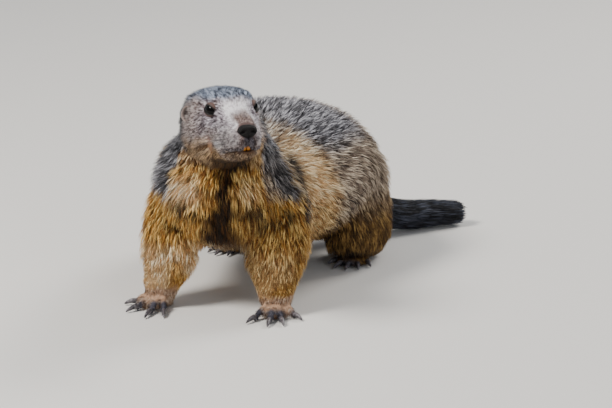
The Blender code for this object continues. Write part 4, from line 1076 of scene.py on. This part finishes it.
def tuft_piece(name, tufts, colours, roots_uv):
    """A piece of many tufts, with their colours and a map in which each has its own small patch, near its
    root's place on an unwrap of the skin: ranks along the body, then round it, spread over a square."""
    count, corners = tufts.shape[:2]
    faces, tuft_map = (blade_faces, blade_map) if corners == len(blade_map) else (spike_faces, spike_map)
    points = tufts.reshape(-1, 3)
    points[:, 2] = np.maximum(points[:, 2], floor_gap)
    triangles = (faces[None] + corners * np.arange(count)[:, None, None]).reshape(-1, 3)
    piece = put_mesh(name, points, outward(points, triangles))
    colour_points(piece.data, colours.reshape(-1, 3))
    columns = math.ceil(math.sqrt(count))
    order = np.argsort(roots_uv[:, 0])
    column = np.empty(count, int)
    column[order] = np.arange(count) // columns
    order = np.lexsort((roots_uv[:, 1], column))
    row = np.empty(count, int)
    row[order] = np.arange(count) - column[order] * columns
    patch = (np.stack([column, row], -1) + 0.3)[:, None] / columns + tuft_map * 0.003
    layer = piece.data.uv_layers.new(name="OFBake")
    index = np.empty(len(triangles) * 3, np.int32)
    piece.data.loops.foreach_get("vertex_index", index)
    layer.data.foreach_set("uv", patch.reshape(-1, 2)[index].astype(np.float32).ravel())
    piece.data.materials.append(coat_material)
    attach(piece, "root")


def tilted(normal, way, angle):
    """The way turned about the normal: way cos + side sin."""
    side = np.cross(normal, way)
    return unit(way * np.cos(angle)[:, None] + side * np.sin(angle)[:, None])


# Along the body from nose to tail, and round it from the back: the unwrap on which the tufts have patches
along_body = share["legs"] * (1.0 - outline[:, 2])
for name, start in (("trunk", 0.3), ("neck", 0.1), ("head", 0.0), ("tail", 2.0)):
    along_body += share[name] * (start + outline[:, 1])
unwrap = np.stack([along_body, np.arctan2(base_normals[:, 0], base_normals[:, 2])], -1)

# Length of the coat: short on the face and paws, long on the cheeks, chest, haunches and tail
leg_fade = ease(outline[:, 2], 0.020, 0.080)
haunch = share["hindleg_left"] + share["hindleg_right"]
eye_gap = np.min([np.linalg.norm(base - head_point(eye_place, side), axis=1) for side in (1, -1)], axis=0)
head_fur = 0.0036 + 0.0022 * ease(forward, 0.066, 0.046) + 0.0070 * ease(forward, 0.030, -0.020)
head_fur += 0.0080 * ease(crown, -0.016, -0.038) * ease(forward, 0.060, 0.034)
head_fur *= 0.5 + 0.5 * ease(eye_gap, 0.0095, 0.0160)
coat_length = (
    share["trunk"] * (0.019 - 0.005 * ease(outline[:, 2], 0.120, 0.160))
    + share["neck"] * 0.019
    + share["head"] * head_fur
    + share["legs"] * (0.0046 + 0.0114 * leg_fade)
    + haunch * 0.010 * (1 - leg_fade) * ease(outline[:, 2], 0.010, 0.020)
    + share["tail"] * 0.030
)
tuft_width = 0.00055 + 0.00040 * ease(coat_length, 0.006, 0.018)

# No fur grows on the eyes, the nose, the bare edges of the lips or the soles
open_skin = ease(eye_gap, 0.0084, 0.0096) * (1 - ease(groove, 0.25, 0.5)) * (outline[:, 2] > 0.002)
open_skin *= np.linalg.norm(base - head_point(nose_centre), axis=1) > 0.0080
open_skin *= ~((np.abs(aside) < 0.0046) & (crown > -0.0430) & (crown < -0.0346) & (forward > 0.068))

on_head, on_paws = ease(share["head"], 0.4, 0.6), ease(share["paw"], 0.3, 0.6)
on_tail = ease(share["tail"], 0.3, 0.6) * ease(outline[:, 1], 0.138, 0.155)
on_body = (1 - np.clip(on_head + on_paws, 0, 1)) * (1 - on_tail)
coat_layers = {
    "coat_under": dict(
        where=on_body, tufts=142000, pieces=3, bends=False, slot="tawny_coat", speck=0.0022, root_shade=0.45,
        lock=(0.0042, 0.0062), lean=0.26, pull=0.30, length=0.70, width=0.90, lift=0.70, variety=0.85,
    ),
    "coat_guard": dict(
        where=on_body, tufts=44000, pieces=3, bends=True, slot="tawny_coat", speck=0.0022, root_shade=0.40,
        lock=(0.0042, 0.0070), lean=0.26, pull=0.42, length=1.0, width=1.0, lift=1.0, variety=1.10,
    ),
    "coat_head": dict(
        where=on_head * (1 + 0.8 * ease(forward, 0.0, 0.05)),  # closer on the face than behind it
        tufts=78000, pieces=2, bends=False, slot="grey_coat", speck=0.0012, root_shade=0.70,
        lock=(0.0032, 0.0042), lean=0.12, pull=0.12, length=1.0, width=1.1, lift=1.0, variety=1.35,
    ),
    "coat_paws": dict(
        where=on_paws, tufts=15000, pieces=1, bends=False, slot="paw_fur", speck=0.0020, root_shade=0.70,
        lock=(0.0030, 0.0030), lean=0.24, pull=0.15, length=1.1, width=1.3, lift=2.2, variety=1.6,
    ),
    "coat_tail": dict(
        where=on_tail, tufts=10500, pieces=1, bends=True, slot="black_coat", speck=0.0025, root_shade=0.40,
        lock=(0.0090, 0.0090), lean=0.0, pull=0.0, length=1.0, width=1.35, lift=1.0, variety=1.0,
    ),
}
tail_rows = smooth_path(tail_sections, 200)
tail_run = np.concatenate([[0], np.cumsum(np.linalg.norm(np.diff(tail_rows[:, :3], axis=0), axis=1))])


def within_tail(run, out, reach):
    """Places at a run along the tail's path, out from it by a share of the coat's radius there, which stays
    full almost to the tip and rounds off like a ball over the last 13 mm."""
    row = np.stack([np.interp(run, tail_run, tail_rows[:, k]) for k in range(6)], -1)
    last = np.clip((run - tail_run[-1] + 0.013) / 0.015, 0, 1)
    radius = np.maximum(row[:, 3:6].mean(1), 0.0148) * np.sqrt(1 - last**2)
    return row[:, :3] + out * (radius * reach)[:, None]


# Dark-tipped patches of the breast: aside of its middle, half width, height, half height, in millimetres
breast_streaks = ((-30, 13, 104, 7), (-45, 10, 85, 5), (36, 13, 104, 7), (47, 14, 87, 6), (66, 8, 95, 6))
ruff_lift, crest_lift = 0.0075, 0.0026
bend_along, bend_up, bend_gather = 0.46, 0.72, 0.35  # of the tuft's length, height and pull

vertex_values = np.column_stack([
    outline, base, base_normals, lie, coat_length, tuft_width, depth, unwrap, weights.T, share["paw"],
])
for name, layer in coat_layers.items():
    count = layer["tufts"]
    values = at_roots(vertex_values, roots_on_skin(layer["where"] * open_skin, count))
    place, root, normal, way, sizes, roots_uv, belongs = np.split(values, (3, 6, 9, 12, 15, 17), axis=1)
    length, width, deep = sizes.T * [[layer["length"]], [layer["width"]], [1.0]]
    here = dict(zip((*parts, "paw"), belongs.T))
    here["legs"] = sum(here[part] for part in parts if "leg" in part)
    normal = unit(normal)
    way = unit(aside_of(way, normal))

    # Locks are fine on the back and coarse below
    centre, chance = locks_of(root, layer["lock"][1], 31)
    fine_centre, fine_chance = locks_of(root, layer["lock"][0], 37)
    fine_here = place[:, 2:] > 0.134 + 0.008 * drift(place, 0.02, 5)[:, :1]
    centre, chance = np.where(fine_here, fine_centre, centre), np.where(fine_here, fine_chance, chance)
    way = tilted(normal, way, (chance[:, 0] - 0.5) * layer["lean"] * 2 + draw.normal(0, 0.11, count))
    length *= (0.80 + 0.30 * chance[:, 1]) * draw.uniform(0.80, 1.12, count)
    height = deep * layer["lift"] * draw.uniform(0.55, 1.05, count) * (0.8 + 0.4 * chance[:, 2])

    # The ruff on the right of the neck and the hair of the crown stand higher
    ruff = (here["neck"] + here["trunk"]) * ease(place[:, 0], 0.008, -0.016)
    ruff *= ease(place[:, 1], -0.085, -0.115) * bump(place[:, 2], 0.152, 0.022)
    local = (place - head_middle) @ head_axes.T
    crest = here["head"] * ease(local[:, 2], 0.006, 0.018) * ease(local[:, 0], 0.050, 0.026)
    height += ruff_lift * ruff + crest_lift * crest

    # Each tip is drawn towards the middle of its lock
    gather = aside_of(aside_of(centre - root, normal), way) * layer["pull"] * np.where(fine_here, 0.6, 1.0)
    tip = root + way * length[:, None] + normal * height[:, None] + gather
    bend = root + way * (length * bend_along)[:, None] + normal * (height * bend_up)[:, None]
    bend += gather * bend_gather
    if name == "coat_tail":
        nearest = ((root[:, None] - tail_rows[None, :, :3]) ** 2).sum(-1).argmin(1)
        out, end = unit(root - tail_rows[nearest, :3]), tail_run[-1] - draw.uniform(0, 0.009, count)
        reach = draw.uniform(0.74, 1.0, count)
        tip = within_tail(np.minimum(tail_run[nearest] + length * 0.85, end), out, reach)
        bend = within_tail(np.minimum(tail_run[nearest] + length * 0.36, end - 0.004), out, reach * 0.86)
    tufts = blades(root, normal, bend, tip, width) if layer["bends"] else spikes(root, normal, tip, width)

    # Each hair takes its colour from where its middle lies; hairs side by side share it in fine strands; long
    # ones beside the throat end in dark points. Painted shade deep in the coat darkens each hair at its root,
    # less so in cream fur.
    mix = fur_shares(place + way * (length * 0.55)[:, None], here)
    strand = aside_of(root - centre, way, 0.6)
    _, speck = locks_of(centre + strand, layer["speck"], 41)
    tone = 0.5 + (draw.random(count) - 0.5) * 0.45
    tone += (speck[:, 0] - 0.5) * layer["variety"] + (chance[:, 2] - 0.5) * 0.25
    middle = hair_colour(mix, np.clip(tone, 0, 1))
    end_colour = hair_colour(mix, np.clip(tone + draw.normal(0.08, 0.16, count), 0, 1))
    ends = (root + way * (length * 0.8)[:, None]) * 1000
    beside = (ends - shoulder_point * 1000) @ shoulder_side
    streak = 0
    for side, half_width, up, half_height in breast_streaks:
        streak += bump(beside, side, half_width) * bump(ends[:, 2], up, half_height)
    streak = np.minimum(1, 1.8 * streak) * ease(ends[:, 1], -118, -134) * ease(chance[:, 1], 0.12, 0.24)
    end_colour *= (1 - 0.92 * streak)[:, None]
    middle *= (1 - 0.80 * streak)[:, None]
    root_shade = layer["root_shade"]
    # painted light: cream fur keeps lighter roots, so that its patches read as sunlit
    if name not in ("coat_head", "coat_paws"):
        root_shade = root_shade * (1 + 0.9 * mix[:, [list(furs).index("cream")]])
    if layer["bends"]:
        shaded_root_colour = hair_colour(mix, np.clip(tone, 0, 1) * 0.5) * root_shade
        colours = np.stack([shaded_root_colour] * 3 + [middle] * 3 + [end_colour], 1)
    else:
        colours = np.stack([middle * root_shade] * 3 + [end_colour], 1)
    cuts = np.array_split(np.argsort(place[:, 1] + 0.2 * (place[:, 2] < 0.06)), layer["pieces"])
    for k, chosen in enumerate(cuts, 1):
        tuft_piece(f"{name}_{k}", tufts[chosen], colours[chosen], roots_uv[chosen])

# Short hair on the rims and backs of the ears, pointing outwards
ear_tuft_count = 800
ear_tuft_width = np.full(ear_tuft_count, 0.0006)
ear_hairs, ear_places = [], []
for side in (1, -1):
    face, across, high = ear_axes(side)
    reach, turn = draw.uniform(0.55, 1.0, ear_tuft_count), draw.uniform(0, math.tau, ear_tuft_count)
    root = ear_point(side, reach, turn, np.full(ear_tuft_count, ear_wall))
    out = np.cos(turn)[:, None] * across + np.sin(turn)[:, None] * high
    leaning = unit(out - face * draw.uniform(0.0, 0.6, ear_tuft_count)[:, None] - ahead * 0.35)
    tip = root + leaning * draw.uniform(0.0018, 0.0036, ear_tuft_count)[:, None]
    ear_hairs.append(spikes(root, np.broadcast_to(-face, root.shape), tip, ear_tuft_width, 0.0002))
    ear_places.append(np.stack([turn, reach], -1) + (0, side * 2))
ear_tone = blend(shade(96, 82, 80), shade(216, 204, 200), draw.random(2 * ear_tuft_count)[:, None])
# painted shade darkens each hair at its root
ear_colours = np.stack([ear_tone * 0.7] * 3 + [ear_tone], 1)
tuft_piece("coat_ears", np.vstack(ear_hairs), ear_colours, np.vstack(ear_places))

# Stage. A plain pale floor under soft studio light, seen from the animal's left front.
floor_reach = 6.0
corners = np.array([(-1, -1, 0), (1, -1, 0), (1, 1, 0), (-1, 1, 0)]) * floor_reach
floor = put_mesh("floor", corners - home, np.array([(0, 1, 2), (0, 2, 3)]), False)
paper = bpy.data.materials.new("pale_paper")
paper.use_nodes = True
shader = paper.node_tree.nodes["Principled BSDF"]
shader.inputs["Base Color"].default_value = (0.72, 0.70, 0.67, 1)
shader.inputs["Roughness"].default_value = 0.9
floor.data.materials.append(paper)

sky = bpy.data.worlds.new("studio")
sky.use_nodes = True
glow = sky.node_tree.nodes["Background"]
glow.inputs["Color"].default_value = (0.86, 0.92, 1.0, 1)
glow.inputs["Strength"].default_value = 0.42
bpy.context.scene.world = sky


def soft_light(name, place, size, power, colour):
    """A square panel of light at a place, turned to face the animal."""
    lamp = bpy.data.lights.new(name, "AREA")
    lamp.size, lamp.energy, lamp.color = size, power, colour
    obj = bpy.data.objects.new(name, lamp)
    obj.location = place
    obj.rotation_euler = (Vector(place) - Vector((0, -0.05, 0.1))).to_track_quat("Z", "Y").to_euler()
    bpy.context.scene.collection.objects.link(obj)


soft_light("key", (-0.9, -1.5, 2.1), 0.8, 88, (1.0, 0.96, 0.90))
soft_light("fill", (2.4, -1.6, 1.2), 1.6, 16, (0.95, 0.97, 1.0))
soft_light("back", (0.9, 2.0, 1.9), 1.0, 52, (1.0, 0.97, 0.92))

# Camera: 24 degrees to the animal's left, 14 above, on a long lens, as the photograph was framed, so that a
# spot on the floor behind the left forefoot shows at a mark in the picture
view_turn, view_lift, view_distance, lens, sensor = math.radians(24), math.radians(14), 3.45, 200, 36
picture_size, mark = np.array((612, 408)), np.array((250, 308))
spot = np.array((0.040, -0.135, 0.0)) + home
to_right = np.array((math.cos(view_turn), math.sin(view_turn), 0.0))
level = np.array((-math.sin(view_turn), math.cos(view_turn), 0.0))
onward = level * math.cos(view_lift) - (0, 0, math.sin(view_lift))
to_top = np.cross(to_right, onward)
pixel = view_distance * sensor / (picture_size[0] * lens)
right_shift, up_shift = (picture_size / 2 - mark) * (pixel, -pixel)
eye_point = spot - onward * view_distance + to_right * right_shift + to_top * up_shift
camera = bpy.data.objects.new("camera", bpy.data.cameras.new("camera"))
camera.data.lens, camera.data.sensor_width = lens, sensor
turned = Matrix(np.array((to_right, to_top, -onward)).T.tolist()).to_4x4()
turned.translation = eye_point.tolist()
camera.matrix_world = turned
bpy.context.scene.collection.objects.link(camera)
bpy.context.scene.camera = camera
